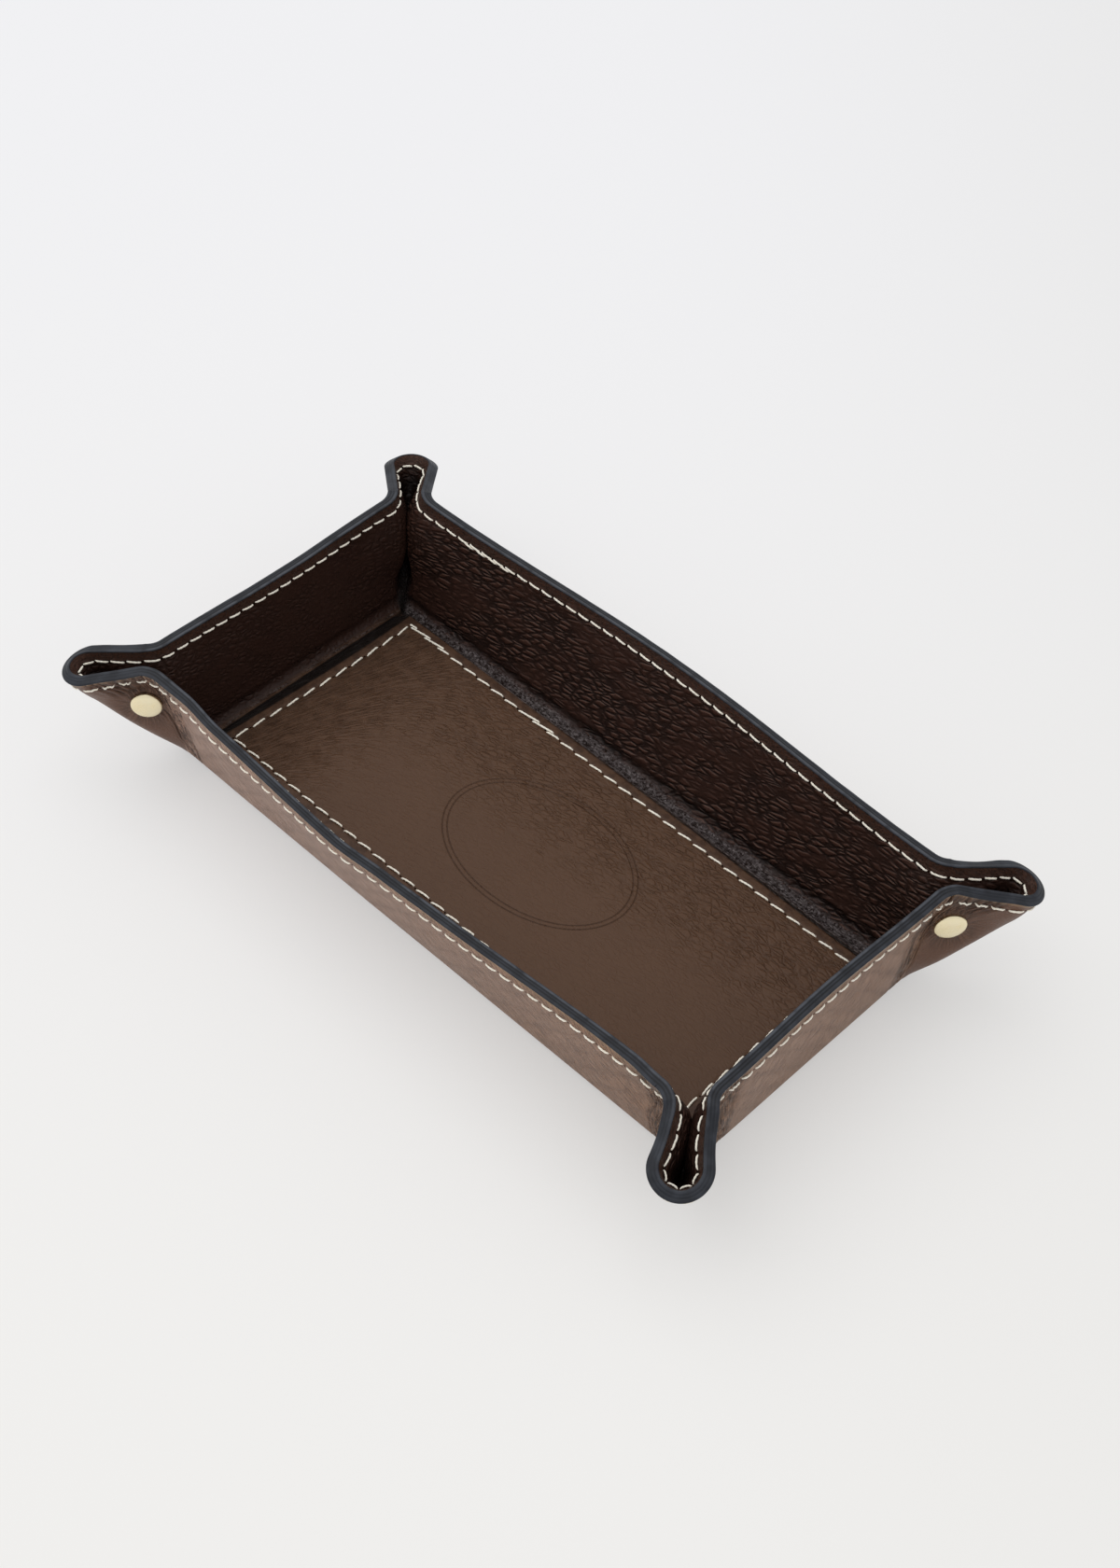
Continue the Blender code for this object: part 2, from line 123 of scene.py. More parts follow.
# The seams.
SEAM_CORNERS = np.array([(-0.0789, -0.0290), (0.0783, -0.0304), (0.0779, 0.0286), (-0.0773, 0.0313)])
STRIP_CORNERS = np.array([(-0.0812, -0.0316), (0.0808, -0.0328), (0.0806, 0.0311), (-0.0796, 0.0337)])
SEAM_BOW = 0.0007
EDGE_SHIFT_AT_BACK = 0.0015
RIM_SEAM_DROP = 0.0027
RIM_STITCH_PITCH = 0.00413
BASE_STITCH_PITCH = 0.00525
RIM_STITCH_DIVE = 0.0004
STITCH_SHARES = {"inside": 0.86, "outside": 0.77, "base": 0.82}
THREAD_RADIUS = 0.00027
OUTSIDE_THREAD_RADIUS = 0.00029

# The plain double ring pressed into the middle of the base.
RING_CENTRE = np.array([0.0022, 0.0001])
RING_HALF_AXES = np.array([0.0280, 0.01936])
RING_GAP = 0.0013
RING_LINE_HALF_WIDTH = 0.00017
RING_LINE_DEPTH = 0.00016

# The grain of the hide.
PANEL_GRAIN_SIZE = 0.00135
PANEL_GRAIN_STRETCH = 2.1
PANEL_GRAIN_SLOPE = 0.14
PANEL_GRAIN_SWEEP = -1.1
PANEL_TURN_START = -0.042
PANEL_TURN_LENGTH = 0.020
PANEL_TURN_RISE = 0.0093
WALL_GRAIN_SIZE = 0.00140
LONG_WALL_STRETCH = 2.6
SHORT_WALL_STRETCH = 1.6
WALL_GRAIN_LEAN = 0.18
WALL_GRAIN_LIGHT_REACH = 0.00026
PUFF_REACH = 0.34
SHORT_WALL_CALM_SHARE = 0.55
COMBED_PITCH = 0.00062
COMBED_LENGTH = 0.0078
CAP_RAY_COUNT = 4.5

# Where the base panel lies quieter: in its front half, away from the left end.
QUIET_FROM_BACK = (0.016, -0.006)
QUIET_FROM_LEFT = (-0.064, -0.044)
QUIET_SHARE = 0.80

# The walls as they stand: noses flared, and the front long wall bowed at its rim.
NOSE_FLARE_HEIGHT = 0.0090
FLARE_PEAK = 27 / 4
FRONT_WALL_OUT = 0.0010
FRONT_WALL_OUT_SPAN = (-0.0740, -0.0610, -0.0160, -0.0010)
FRONT_WALL_IN = 0.0006
FRONT_WALL_IN_SPAN = (-0.0080, 0.0160, 0.0740, 0.0820)
FRONT_EDGE_TUCK = 0.00042
FRONT_EDGE_TUCK_DROP = 0.0016
WALL_WANDER = 0.00022
OUTER_WANDER_LENGTH = 0.040
INNER_WANDER_LENGTH = 0.035
SLIT_CLOSING = 0.00012
CAP_LIP_HEIGHT = 0.0002
CAP_LIP_HALF_WIDTH = 0.0005

# The creases that fan up the walls to the throats, and the marks above the caps.
THROAT_PLACE = 1.07
FAN_FOOT = 0.0090
FAN_BELOW = 0.012
FAN_ANGLES = (-0.02, 0.42)
LOW_FAN_ANGLE = 0.28
FAN_PITCH = 0.033
FAN_DEPTH = 0.00075
FAN_SPAN = 0.022
FAN_FADE = (0.024, 0.018)
FAN_SHEET_RADIUS = 0.035
FAN_WAVES = (0.004, 0.0022)
FAN_LINES = (1.6 / FAN_PITCH, 90.0, 3.0)
CRUSH_PITCH = 0.00150
CRUSH_REACH = 0.0075
CRUSH_WAVES = (0.004, 0.003, 0.0025)
CAP_RAY_REACH = 0.03
CAP_RAY_CHANGES = 120.0
FAR_FROM_CAPS = 0.05

# The worn fold at the walls' foot.
ROLL_HEIGHT = 0.00030
CREASE_DEPTH = 0.00010
ROLL_CLIMB = 0.0016
ROLL_HALF_WIDTH = 0.0011
GROOVE_CLIMB = 0.0040
SECOND_ROLL_CLIMB = 0.0056
THIN_ROLL_CLIMB = 0.0006
THIN_ROLL_HALF_WIDTH = 0.00035
THIN_ROLL_SHARE = 0.7
ROLL_WANDERS = ((0.016, 0.00022), (0.006, 0.00012))
ROLL_CHANGE_LENGTH = 0.012
SECOND_ROLL_CHANGE_LENGTH = 0.020
CORNER_WEAR_SPAN = (0.0095, 0.0030)
STREAK_LENGTH = 0.0016
WRINKLE_LENGTH = 0.0016
WORN_EDGE = 0.0004
WALL_START = (0.0004, 0.0016)
HOLLOW_SPAN = (0.0030, 0.0075)
HOLLOW_SHARE = 0.90

# The base panel and the underside.
BOARD_HALF_LENGTH = FOLD_HALF_LENGTH - CREASE_BAND_WIDTH
BOARD_HALF_WIDTH = FOLD_HALF_WIDTH - CREASE_BAND_WIDTH
SMALLEST_CORNER_RADIUS = 0.0002
BEYOND_TRAY = 1.0
SEAM_MARGIN = 0.0046
SEAM_RINGS = 20
SPREAD_RINGS = 26
SHOULDER_RINGS = 9
SEAM_GROOVE_DEPTH = 0.00022
SEAM_GROOVE_HALF_WIDTH = 0.0005
COCKLE_LENGTH = 0.050
COCKLE_HEIGHT = 0.00010
STRIP_DROP = 0.00008
STRIP_DROP_WIDTH = 0.0006
STRIP_START = (-0.0002, 0.0005)
STRIP_END = (-0.0001, 0.0005)
RING_INNER_SHARES = np.linspace(0.05, 0.90, 9)
RING_DENSE_SHARES = np.arange(0.918, 1.018, 0.0038)
UNDERSIDE_MARGINS = (*np.linspace(-0.028, -0.0052, 5), *np.arange(-0.0048, -0.0014, 0.0004),
                     -0.0010, 0.0010)
UNDERSIDE_GROOVE_DEPTH = 0.0005
UNDERSIDE_GROOVE_HALF_WIDTH = 0.0009
UNDERSIDE_THREAD_HEIGHT = 0.0005

# The rim: the leathers' lips under the paint, and the bead of paint.
RIM_LIP_HEIGHTS = (0.00016, 0.00030, 0.00036)
RIM_LIP_TUCKS = (0.0, 0.00003, 0.00012)
TRIM_SPAN = (0.0009, 0.0002)
PAINT_POINTS = 34
PAINT_SKIN = 0.00003
PAINT_FOOT = EDGE_PAINT_SEAT * 0.85
PAINT_SIDE_POWER = 0.72
PAINT_SHOULDER_POWER = 0.34
PAINT_HIGHLIGHT_PLACE = 0.00045
PAINT_HIGHLIGHT_HALF_WIDTH = 0.00030
PAINT_FADE_SHARE = 0.8
PAINT_WOBBLE = 0.00003
PAINT_WOBBLE_LENGTH = 0.010
LAMINATE_LINES = (LINING_THICKNESS + GLUE_LINE / 2, OUTER_LEATHER_TOP - GLUE_LINE / 2)
LAMINATE_LINE_DEPTH = 0.00012
LAMINATE_LINE_HALF_WIDTH = 0.00020

# The threads. A doubled stitch is sewn twice, where a thread starts or ends.
STITCH_SEGMENTS = 14
STITCH_SIDES = 10
PLY_TWISTS = 3.5
PLY_SHARE = 0.13
STITCH_SLANTS = {"inside": 0.00030, "outside": 0.00016, "base": 0.00055}
RIM_SLANT_SPREAD = 0.00008
RIM_BOW_SPREAD = 0.00006
BASE_SLANT_SPREAD = 0.0001
BASE_STITCH_BOW = 0.00008
BASE_STITCH_DIVE = 0.0006
ASIDE_SAMPLE = 0.0008
DOUBLED_RIM_SPAN = (-0.0655, -0.0500)
DOUBLED_BASE_STITCHES = ((1, 1), (2, 19), (2, 20), (2, 27), (2, 28), (2, 29))
DOUBLED_SHIFT = -0.00042
DOUBLED_SHARE = 0.45
PIT_RADII = {"inside": 0.00032, "outside": 0.00024, "base": 0.00028}
PIT_SIDES = 10
PIT_LOOPS = ((1.0, -0.00002), (0.8, 0.00005), (0.4, 0.00002))

# The rivets' caps.
CAP_SEGMENTS = 56
CAP_RINGS = 12
CAP_DOME_POWERS = (2.6, 1 / 1.8)
CAP_EDGE_ANGLE = math.radians(50)

# The grain's smaller sizes, how deep each leather's bump reaches, and soft patches a metre.
PANEL_FADE_SIZES = (0.0040, 0.005)
WALL_FADE_SIZE = 0.006
WRINKLE_WARP_SIZE = 0.0010
WRINKLE_SIZE = 0.00030
OUTER_CELL_SIZE = 0.0009
COMBED_LEAN = 0.95
BUMPS = {"lining": 0.00026, "outer": 0.00020, "paint": 0.00012, "thread": 0.00006}
PATCHES = {"tone": 70.0, "mottle": 420.0, "fleck": 1300.0, "pore": 2600.0, "outer": 60.0,
           "paint": 260.0, "paint_grain": 700.0, "thread": 1500.0, "thread_fibre": 5000.0,
           "brass": 380.0, "fibre": 900.0}

# The photograph's camera, solved from the tray's seams, folds and rim.
CAMERA_AZIMUTH = math.radians(42.2786)
CAMERA_ELEVATION = math.radians(48.3487)
CAMERA_ROLL = math.radians(2.8299)
CAMERA_DISTANCE = 0.60302
CAMERA_RIGHT = 0.005906
CAMERA_UP = 0.018560
FOCAL_PIXELS = 2611.14
PICTURE_HEIGHT_PIXELS = 1680
SENSOR_MM = 36.0

# The floor and the light.
FLOOR_HALF_SIZE = 6.0
FLOOR_GLOW_SHARE = 0.5
FLOOR_GLOW_LEVEL = 1.0
BACK_HEADING = (-0.673, 0.740, 0.0)
SIDE_HEADING = (0.740, 0.673, 0.0)
BACK_SPAN = (-0.25, 0.35)
SIDE_SHADE_SPAN = (0.0, 0.36)
WORLD_LEVEL = 0.74
WORLD_SEEN_LEVEL = 0.84
LAMP_PLACE = (-0.42, -0.06, 1.15)
LAMP_SIZE = 1.6
LAMP_WATTS = 7.4

random = np.random.RandomState(7)


def rgb(code):
    """A colour written as it looks on screen, turned to scene values."""
    parts = [int(code[i:i + 2], 16) / 255 for i in (0, 2, 4)]
    return (*(p / 12.92 if p <= 0.04045 else ((p + 0.055) / 1.055) ** 2.4 for p in parts), 1.0)


def palette(**codes):
    return SimpleNamespace(**{name: rgb(code) for name, code in codes.items()})


# Lining tones: the walls' scale tones are darker copies of the base's, painted shade; the darkest
# tones are painted shade in creases, the fold's groove and the ears' hollows; the lit tone is a
# painted highlight; the grey is scuffing with painted sheen.
LINING = palette(plain="523A2A", warm="573E2D", valley="38251A", scale="3A251E", between="1E120E",
                 pressed="50392A", edge="40291F", lit="63463A", worn="665E5E", hollow="0C0605")
# Outer tones: a lighter copy of the lining's brown, painted sheen from the pale floor; the darker ones
# are painted shade towards the right end, on the ears' flanks and in the creases.
OUTSIDE = palette(plain="A88674", far="8D6A52", valley="5A4338", ear="5C3F30", deep="1E120C",
                  trim="A88B68")
# The paint's palest tone is a painted highlight on the bead's inner shoulder.
PAINT = palette(plain="23252B", light="31343B", line="101114", shine="484B52")
# The floor's side tone is a little darker: painted shade to one side of the tray.
FLOOR = palette(plain="EDECEC", front="EFEEEC", back="EDEDEF", side="E2E1DE")


def turned(direction, angle):
    """A direction in plan, turned anticlockwise by an angle."""
    cosine, sine = math.cos(angle), math.sin(angle)
    return np.array([direction[0] * cosine - direction[1] * sine,
                     direction[0] * sine + direction[1] * cosine])


def ear_axis(ear):
    return turned((1.0, 0.0), ear["turn"])


def arc_points(start, start_heading, end, end_heading, steps):
    """Points after start on the arc that leaves and arrives along two headings."""
    turn = math.acos(max(-1.0, min(1.0, float(start_heading @ end_heading))))
    sense = math.copysign(1.0, start_heading[0] * end_heading[1]
                          - start_heading[1] * end_heading[0])
    radius = np.linalg.norm(end - start) / (2 * math.sin(turn / 2))
    centre = start + sense * radius * turned(start_heading, math.pi / 2)
    return [centre + turned(start - centre, sense * turn * k / steps)
            for k in range(1, steps + 1)]


def straight_points(start, end, steps):
    return [start + (end - start) * k / steps for k in range(1, steps + 1)]


def flank(ear, sense):
    """One flank of an ear's inner rim, as foot, neck, nose point and heading."""
    axis = ear_axis(ear)
    wall_heading = np.array([1.0, 0.0]) if sense > 0 else np.array([0.0, 1.0])
    heading = turned(axis, sense * ear["spread"])
    outward = turned(heading, sense * math.pi / 2)
    nose_radius = ear["nose_radius"] - LAMINATE
    nose_point = INNER_CORNER + ear["reach"] * axis + nose_radius * outward
    lines = np.column_stack([-heading, -wall_heading])
    back, _ = np.linalg.solve(lines, INNER_CORNER - nose_point)
    corner = nose_point - back * heading
    turn = math.acos(float(heading @ wall_heading))
    tangent = (THROAT_RADIUS + LAMINATE) * math.tan(turn / 2)
    return corner - tangent * wall_heading, corner + tangent * heading, nose_point, heading


def ear_rim(ear):
    """The inner rim of an ear, from its foot on the long wall to the other foot."""
    long_foot, long_neck, long_nose, long_heading = flank(ear, 1)
    short_foot, short_neck, short_nose, short_heading = flank(ear, -1)
    nose = INNER_CORNER + ear["reach"] * ear_axis(ear)
    sweep = -(math.pi + 2 * ear["spread"])
    points = [long_foot]
    points += arc_points(long_foot, np.array([1.0, 0.0]), long_neck, long_heading, THROAT_STEPS)
    points += straight_points(long_neck, long_nose, FLANK_STEPS)
    points += [nose + turned(long_nose - nose, sweep * k / NOSE_STEPS)
               for k in range(1, NOSE_STEPS + 1)]
    points += straight_points(short_nose, short_neck, FLANK_STEPS)
    points += arc_points(short_neck, -short_heading, short_foot, np.array([0.0, -1.0]),
                         THROAT_STEPS)
    return points


def crowded(share):
    """A share along a wall, from its middle, with finer steps towards the ear."""
    return 1 - (1 - share) ** WALL_STEP_CROWDING


def quadrant_rim(ear):
    """Inner rim of a quadrant with a place for each point: 0 to 1 along the long
    wall, 1 to 2 round the ear, and 2 to 3 along the short wall.
    """
    ear_points = ear_rim(ear)
    lengths = np.linalg.norm(np.diff(ear_points, axis=0), axis=1)
    ear_places = 1 + np.concatenate([[0.0], np.cumsum(lengths)]) / lengths.sum()
    points, places = [], []
    for k in range(LONG_WALL_STEPS):
        share = crowded(k / LONG_WALL_STEPS)
        belly = LONG_WALL_BELLY * math.cos(share * math.pi / 2) ** 2
        points.append(np.array([ear_points[0][0] * share, INNER_CORNER[1] + belly]))
        places.append(share)
    points += ear_points
    places += list(ear_places)
    for k in range(1, SHORT_WALL_STEPS + 1):
        share = crowded(1 - k / SHORT_WALL_STEPS)
        draw = SHORT_WALL_DRAW * math.cos(share * math.pi / 2) ** 2
        points.append(np.array([INNER_CORNER[0] - draw, ear_points[-1][1] * share]))
        places.append(3 - share)
    return points, places


def share_along_ear(ear, point):
    """How far a point of the rim lies from the corner, as a share of the ear."""
    tip = ear["reach"] + ear["nose_radius"] - LAMINATE
    return max(0.0, float((point - INNER_CORNER) @ ear_axis(ear))) / tip


def rim_height(ear, point, place):
    along_wall = min(1.0, place, 3 - place)
    rise = (RIM_HEIGHT_AT_THROAT - RIM_HEIGHT_AT_MIDDLE) * along_wall ** 2
    return RIM_HEIGHT_AT_MIDDLE + rise - ear["tip_drop"] * share_along_ear(ear, point)


def keel_bow(ear, point, up):
    """How far the middle of a wall section bows out: most under the ear's tip."""
    axis = np.append(ear_axis(ear), 0.0)
    out = axis - up * float(axis @ up)
    return ear["keel_bow"] * share_along_ear(ear, point) ** 2 * out / np.linalg.norm(out)


def rounded_corner(half_length, half_width, radius, place):
    """A quadrant of a rounded rectangle at a place, with its outward normal."""
    if place <= 1:
        return np.array([(half_length - radius) * place, half_width]), np.array([0.0, 1.0])
    if place >= 2:
        return np.array([half_length, (half_width - radius) * (3 - place)]), np.array([1.0, 0.0])
    normal = turned((0.0, 1.0), -(place - 1) * math.pi / 2)
    return np.array([half_length - radius, half_width - radius]) + radius * normal, normal


def wall_section(ear, point, place):
    """The inner face above one point of the perimeter, from the floor to the rim."""
    fold, normal = rounded_corner(FOLD_HALF_LENGTH, FOLD_HALF_WIDTH, FOLD_CORNER_RADIUS, place)
    floor = np.append(fold - normal * FOLD_INSIDE_RADIUS, LAMINATE)
    bend = np.append(fold, LAMINATE)
    rim = np.append(point, rim_height(ear, point, place))
    up = (rim - bend) / np.linalg.norm(rim - bend)
    wall_foot = bend + up * FOLD_INSIDE_RADIUS
    section = [floor]
    for k in range(1, FOLD_STEPS + 1):
        t = k / FOLD_STEPS
        section.append((1 - t) ** 2 * floor + 2 * t * (1 - t) * bend + t * t * wall_foot)
    bow = keel_bow(ear, point, up)
    section += [wall_foot + (rim - wall_foot) * share + bow * math.sin(math.pi * share)
                for share in WALL_ROW_SHARES]
    return section


def rivet_centre(ear):
    share = RIVET_HEIGHT / RIM_HEIGHT_AT_THROAT
    foot = np.array([FOLD_HALF_LENGTH, FOLD_HALF_WIDTH])
    corner = foot + (INNER_CORNER - foot) * share
    return np.append(corner + ear_axis(ear) * RIVET_SETBACK, RIVET_HEIGHT)


def free_half_widths(aside):
    """How far each point would stand from the ear's middle plane unpinched."""
    long_neck = LONG_WALL_STEPS + THROAT_STEPS
    long_nose = long_neck + FLANK_STEPS
    short_nose = long_nose + NOSE_STEPS
    short_neck = short_nose + FLANK_STEPS
    free = np.abs(aside)
    free[:long_neck] = free[long_neck]
    free[short_neck + 1:] = free[short_neck]
    for k in range(long_nose + 1, short_nose):
        share = (k - long_nose) / NOSE_STEPS
        free[k] = free[long_nose] * (1 - share) + free[short_nose] * share
    return free


def pinch(ear, grid):
    """Press a quadrant's inner face towards the ear's middle plane round its rivet."""
    axis = np.append(ear_axis(ear), 0.0)
    across = np.append(turned(ear_axis(ear), math.pi / 2), 0.0)
    offset = grid - rivet_centre(ear)
    along, aside = offset @ axis, offset @ across
    away = np.hypot(along, offset[..., 2])
    flat = RIVET_CAP_RADIUS + PINCH_FLAT_MARGIN
    level_share = (along / away) ** 2
    reach = PINCH_REACH_UP + (PINCH_REACH_ALONG - PINCH_REACH_UP) * level_share
    fade = np.clip((away - flat) / reach, 0.0, 1.0)
    grip = 1 - fade * fade * (3 - 2 * fade)
    free = free_half_widths(aside)
    beyond = np.maximum(np.abs(aside) - free, 0.0)
    turn_in = np.clip(np.abs(aside) / free, 0.0, 1.0)
    bow = np.clip(free / PINCH_HALF_GAP * (1 - np.sqrt(1 - turn_in ** 2)), 0.0, 1.0)
    pressed = np.sign(aside) * (PINCH_HALF_GAP * np.sqrt(bow * (2 - bow)) + beyond)
    return grid + (grip * (pressed - aside))[..., None] * across


def mirrored(grid, side):
    return grid * np.array([side[0], side[1], 1.0])


def in_turn(ear, stations):
    """A quadrant's stations in their place on the tray, anticlockwise, less the last."""
    if ear["side"][0] == ear["side"][1]:
        stations = stations[::-1]
    return stations[:-1]


def around(per_quadrant):
    """What a function gives for each quadrant, joined in one turn round the tray."""
    return np.concatenate([in_turn(ear, per_quadrant(ear)) for ear in EARS.values()])


def quadrant_face(ear):
    points, places = quadrant_rim(ear)
    sections = [wall_section(ear, point, place) for point, place in zip(points, places)]
    return mirrored(pinch(ear, np.array(sections)), ear["side"])


def outward_normals(grid):
    """Unit normals of the inner face, pointing out of the tray and down below it."""
    along = np.roll(grid, -1, axis=0) - np.roll(grid, 1, axis=0)
    up = np.gradient(grid, axis=1)
    normals = np.cross(along, up)
    normals /= np.linalg.norm(normals, axis=2, keepdims=True)
    normals[:, 0] = (0.0, 0.0, -1.0)
    return normals


def unit(vectors):
    """The same directions, each with a length of one."""
    return vectors / np.linalg.norm(vectors, axis=-1, keepdims=True)


def smooth_share(value, low, high):
    """0 below low, 1 above high, and a smooth rise between them."""
    t = np.clip((value - low) / (high - low), 0.0, 1.0)
    return t * t * (3 - 2 * t)


def waves(points, length, count=18):
    """A smooth random field in about -1 to 1, from plane waves near one length."""
    total = np.zeros(points.shape[:-1])
    for _ in range(count):
        direction = random.normal(size=points.shape[-1])
        direction /= np.linalg.norm(direction)
        pull = random.uniform(0.7, 1.5) * 2 * math.pi / length
        total += np.sin(points @ direction * pull + random.uniform(0, 2 * math.pi))
    return total / math.sqrt(count / 2) / 1.6


def climbs(face):
    """Distance of each row from the first, measured up the face."""
    steps = np.linalg.norm(np.diff(face, axis=1), axis=2)
    return np.concatenate([np.zeros((len(face), 1)), np.cumsum(steps, axis=1)], axis=1)


def with_flared_noses(face, places):
    """Draw the ears' noses in a little below the rim, so that the rim leans out."""
    climb = climbs(face)
    share = np.clip(1 - (climb[:, -1:] - climb) / NOSE_FLARE_HEIGHT, 0.0, 1.0)
    weight = smooth_share(places, 1.04, 1.48) * (1 - smooth_share(places, 1.52, 1.96))
    flare = around(lambda ear: np.full(len(quadrant_rim(ear)[1]), ear["nose_flare"]))
    draw = FLARE_PEAK * share ** 2 * (1 - share) * (weight * flare)[:, None]
    return face - draw[..., None] * outward_normals(face)


def on_span(run, span):
    """1 within a span of lengths, falling smoothly to 0 outside it."""
    return smooth_share(run, span[0], span[1]) * smooth_share(run, span[3], span[2])


def with_shaped_front(face, places):
    """Bow the front long wall's rim out on the left and in on the right, as it stands."""
    run = face[:, -1, 0]
    shift = FRONT_WALL_IN * on_span(run, FRONT_WALL_IN_SPAN)
    shift -= FRONT_WALL_OUT * on_span(run, FRONT_WALL_OUT_SPAN)
    shift *= (face[:, -1, 1] < 0) & (places < 1)
    climb = climbs(face)
    return face + (shift[:, None] * climb / climb[:, -1:])[..., None] * np.array([0.0, 1.0, 0.0])


# Everything that follows is measured on the stations of the inner face.
PLACES = around(lambda ear: np.array(quadrant_rim(ear)[1]))
FACE = with_shaped_front(with_flared_noses(around(quadrant_face), PLACES), PLACES)
OUTWARD = outward_normals(FACE)
STATIONS, ROWS = FACE.shape[:2]
OUTER = FACE + LAMINATE * OUTWARD
RIM = FACE[:, -1]
RIM_STEP = np.linalg.norm(np.roll(RIM, -1, axis=0) - RIM, axis=1)
ALONG = np.concatenate([[0.0], np.cumsum(RIM_STEP)[:-1]])
PERIMETER = RIM_STEP.sum()
CLIMB = climbs(FACE)
BELOW_RIM = CLIMB[:, -1:] - CLIMB
CLIMB_SHARE = CLIMB / CLIMB[:, -1:]
FRONT_ALONG = ALONG[np.argmin(RIM[:, 1] - RIM[:, 0])]


def spread(values, like=CLIMB):
    """Repeat one value for each station along all rows of a grid."""
    return np.broadcast_to(values[:, None], like.shape[:2])


def hill(away, half_width, power=2):
    """1 at no distance, falling smoothly to 0 past a half width."""
    return np.exp(-(away / half_width) ** power)


def corner_share():
    """1 at the middle of each ear, falling to 0 where its walls begin."""
    return smooth_share(PLACES, 1.05, 1.45) * (1 - smooth_share(PLACES, 1.55, 1.95))


# 1 on the long walls and 0 on the short ones.
LONG_SHARE = 1 - smooth_share(PLACES, 1.2, 1.8)


def rivet_frames():
    """Each rivet's centre, the level way out along its ear, and its axis."""
    for ear in EARS.values():
        side = np.array(ear["side"])
        yield (mirrored(rivet_centre(ear), ear["side"]), np.append(ear_axis(ear) * side, 0.0),
               np.append(turned(ear_axis(ear), math.pi / 2) * side, 0.0))


def rivet_distance(face):
    """Distance of each point of a face from the nearest rivet's axis."""
    nearest = np.full(face.shape[:2], BEYOND_TRAY)
    for centre, _, axis in rivet_frames():
        offset = face - centre
        offset = offset - (offset @ axis)[..., None] * axis
        nearest = np.minimum(nearest, np.linalg.norm(offset, axis=2))
    return nearest


def nearest_cap(face):
    """For each point, the direction and distance from the nearest rivet's axis."""
    nearest = np.full(face.shape[:2], BEYOND_TRAY)
    ray = np.zeros(face.shape[:2] + (2,))
    for centre, level, _ in rivet_frames():
        offset = face - centre
        flat = np.stack([offset @ level, offset[..., 2]], axis=-1)
        away = np.linalg.norm(flat, axis=-1)
        closer = (away < nearest) & (np.linalg.norm(offset, axis=-1) < CAP_RAY_REACH)
        nearest = np.where(closer, away, nearest)
        ray = np.where(closer[..., None], flat / away[..., None], ray)
    return ray, nearest


def folds(phase, sharp):
    """Rounded ridges with narrow valleys: 0 in the valleys, 1 on the ridges."""
    return 1 - (0.5 + 0.5 * np.cos(phase)) ** sharp


def around_turn(run, total):
    """Runs round a closed turn, measured from -total/2 to total/2."""
    return np.mod(run + total / 2, total) - total / 2


def fan_run():
    """Angle of each point about the foot of its throat's fan, and the nearest throat."""
    steps = np.linalg.norm(np.roll(OUTER, -1, axis=0) - OUTER, axis=2)
    run = np.concatenate([np.zeros((1, ROWS)), np.cumsum(steps, axis=0)[:-1]])
    long_side = np.abs(np.abs(FACE[:, 0, 0]) - (FOLD_HALF_LENGTH - FAN_FOOT))
    short_side = np.abs(np.abs(FACE[:, 0, 1]) - (FOLD_HALF_WIDTH - FAN_FOOT))
    angle, nearest = np.zeros(CLIMB.shape), np.full(STATIONS, BEYOND_TRAY)
    in_ear = (PLACES > THROAT_PLACE) & (PLACES < 3 - THROAT_PLACE)
    for middle in ALONG[in_ear != np.roll(in_ear, 1)]:
        apart = around_turn(ALONG - middle, PERIMETER)
        throat = np.argmin(np.abs(apart))
        on_long = PLACES[throat] < 1.5
        outside = (np.abs(apart) < FAN_SPAN) & ((PLACES < 1) if on_long else (PLACES > 2))
        start = np.argmin(np.where(outside, long_side if on_long else short_side,
                                   BEYOND_TRAY))
        into_ear = np.sign(apart[throat] - apart[start])
        reach = around_turn(run - run[start], steps.sum(axis=0))
        closer = np.abs(apart) < nearest
        angle[closer] = np.arctan2(reach * into_ear, CLIMB + FAN_BELOW)[closer]
        nearest = np.minimum(nearest, np.abs(apart))
    return angle, nearest


FAN_ANGLE, FROM_THROAT = fan_run()


def fan_weight(rivets):
    """Where long creases run from the foot of the walls past the caps to the rim."""
    high = smooth_share(CLIMB_SHARE, 0.42, 0.62)
    last = LOW_FAN_ANGLE + (FAN_ANGLES[1] - LOW_FAN_ANGLE) * high
    spread_out = (smooth_share(FAN_ANGLE, FAN_ANGLES[0] - 0.03, FAN_ANGLES[0] + 0.05)
                  * smooth_share(FAN_ANGLE - last, 0.04, -0.03))
    clear = smooth_share(rivets, RIVET_CAP_RADIUS, RIVET_CAP_RADIUS * 1.2)
    near = smooth_share(FROM_THROAT, *FAN_FADE)[:, None]
    return spread_out * smooth_share(CLIMB_SHARE, 0.0, 0.05) * clear * near


def crush_marks():
    """Short upright creases under the paint, where the throat is gathered over a cap."""
    sheet = np.stack([spread(ALONG), CLIMB * 0.4], axis=-1)
    phase = 2 * math.pi * (ALONG[:, None] / CRUSH_PITCH + 0.30 * waves(sheet, CRUSH_WAVES[0]))
    gathered = smooth_share(PLACES, 1.02, 1.08) * smooth_share(PLACES, 1.34, 1.20)
    gathered += smooth_share(PLACES, 1.98, 1.92) * smooth_share(PLACES, 1.66, 1.80)
    reach = CRUSH_REACH * (1 + 0.5 * waves(sheet, CRUSH_WAVES[1]))
    strength = np.clip(0.7 + 0.5 * waves(sheet, CRUSH_WAVES[2]), 0.1, 1.0)
    depth = smooth_share(BELOW_RIM, reach, reach * 0.5)
    return gathered[:, None] * depth * (1 - folds(phase, 1.3)) * strength


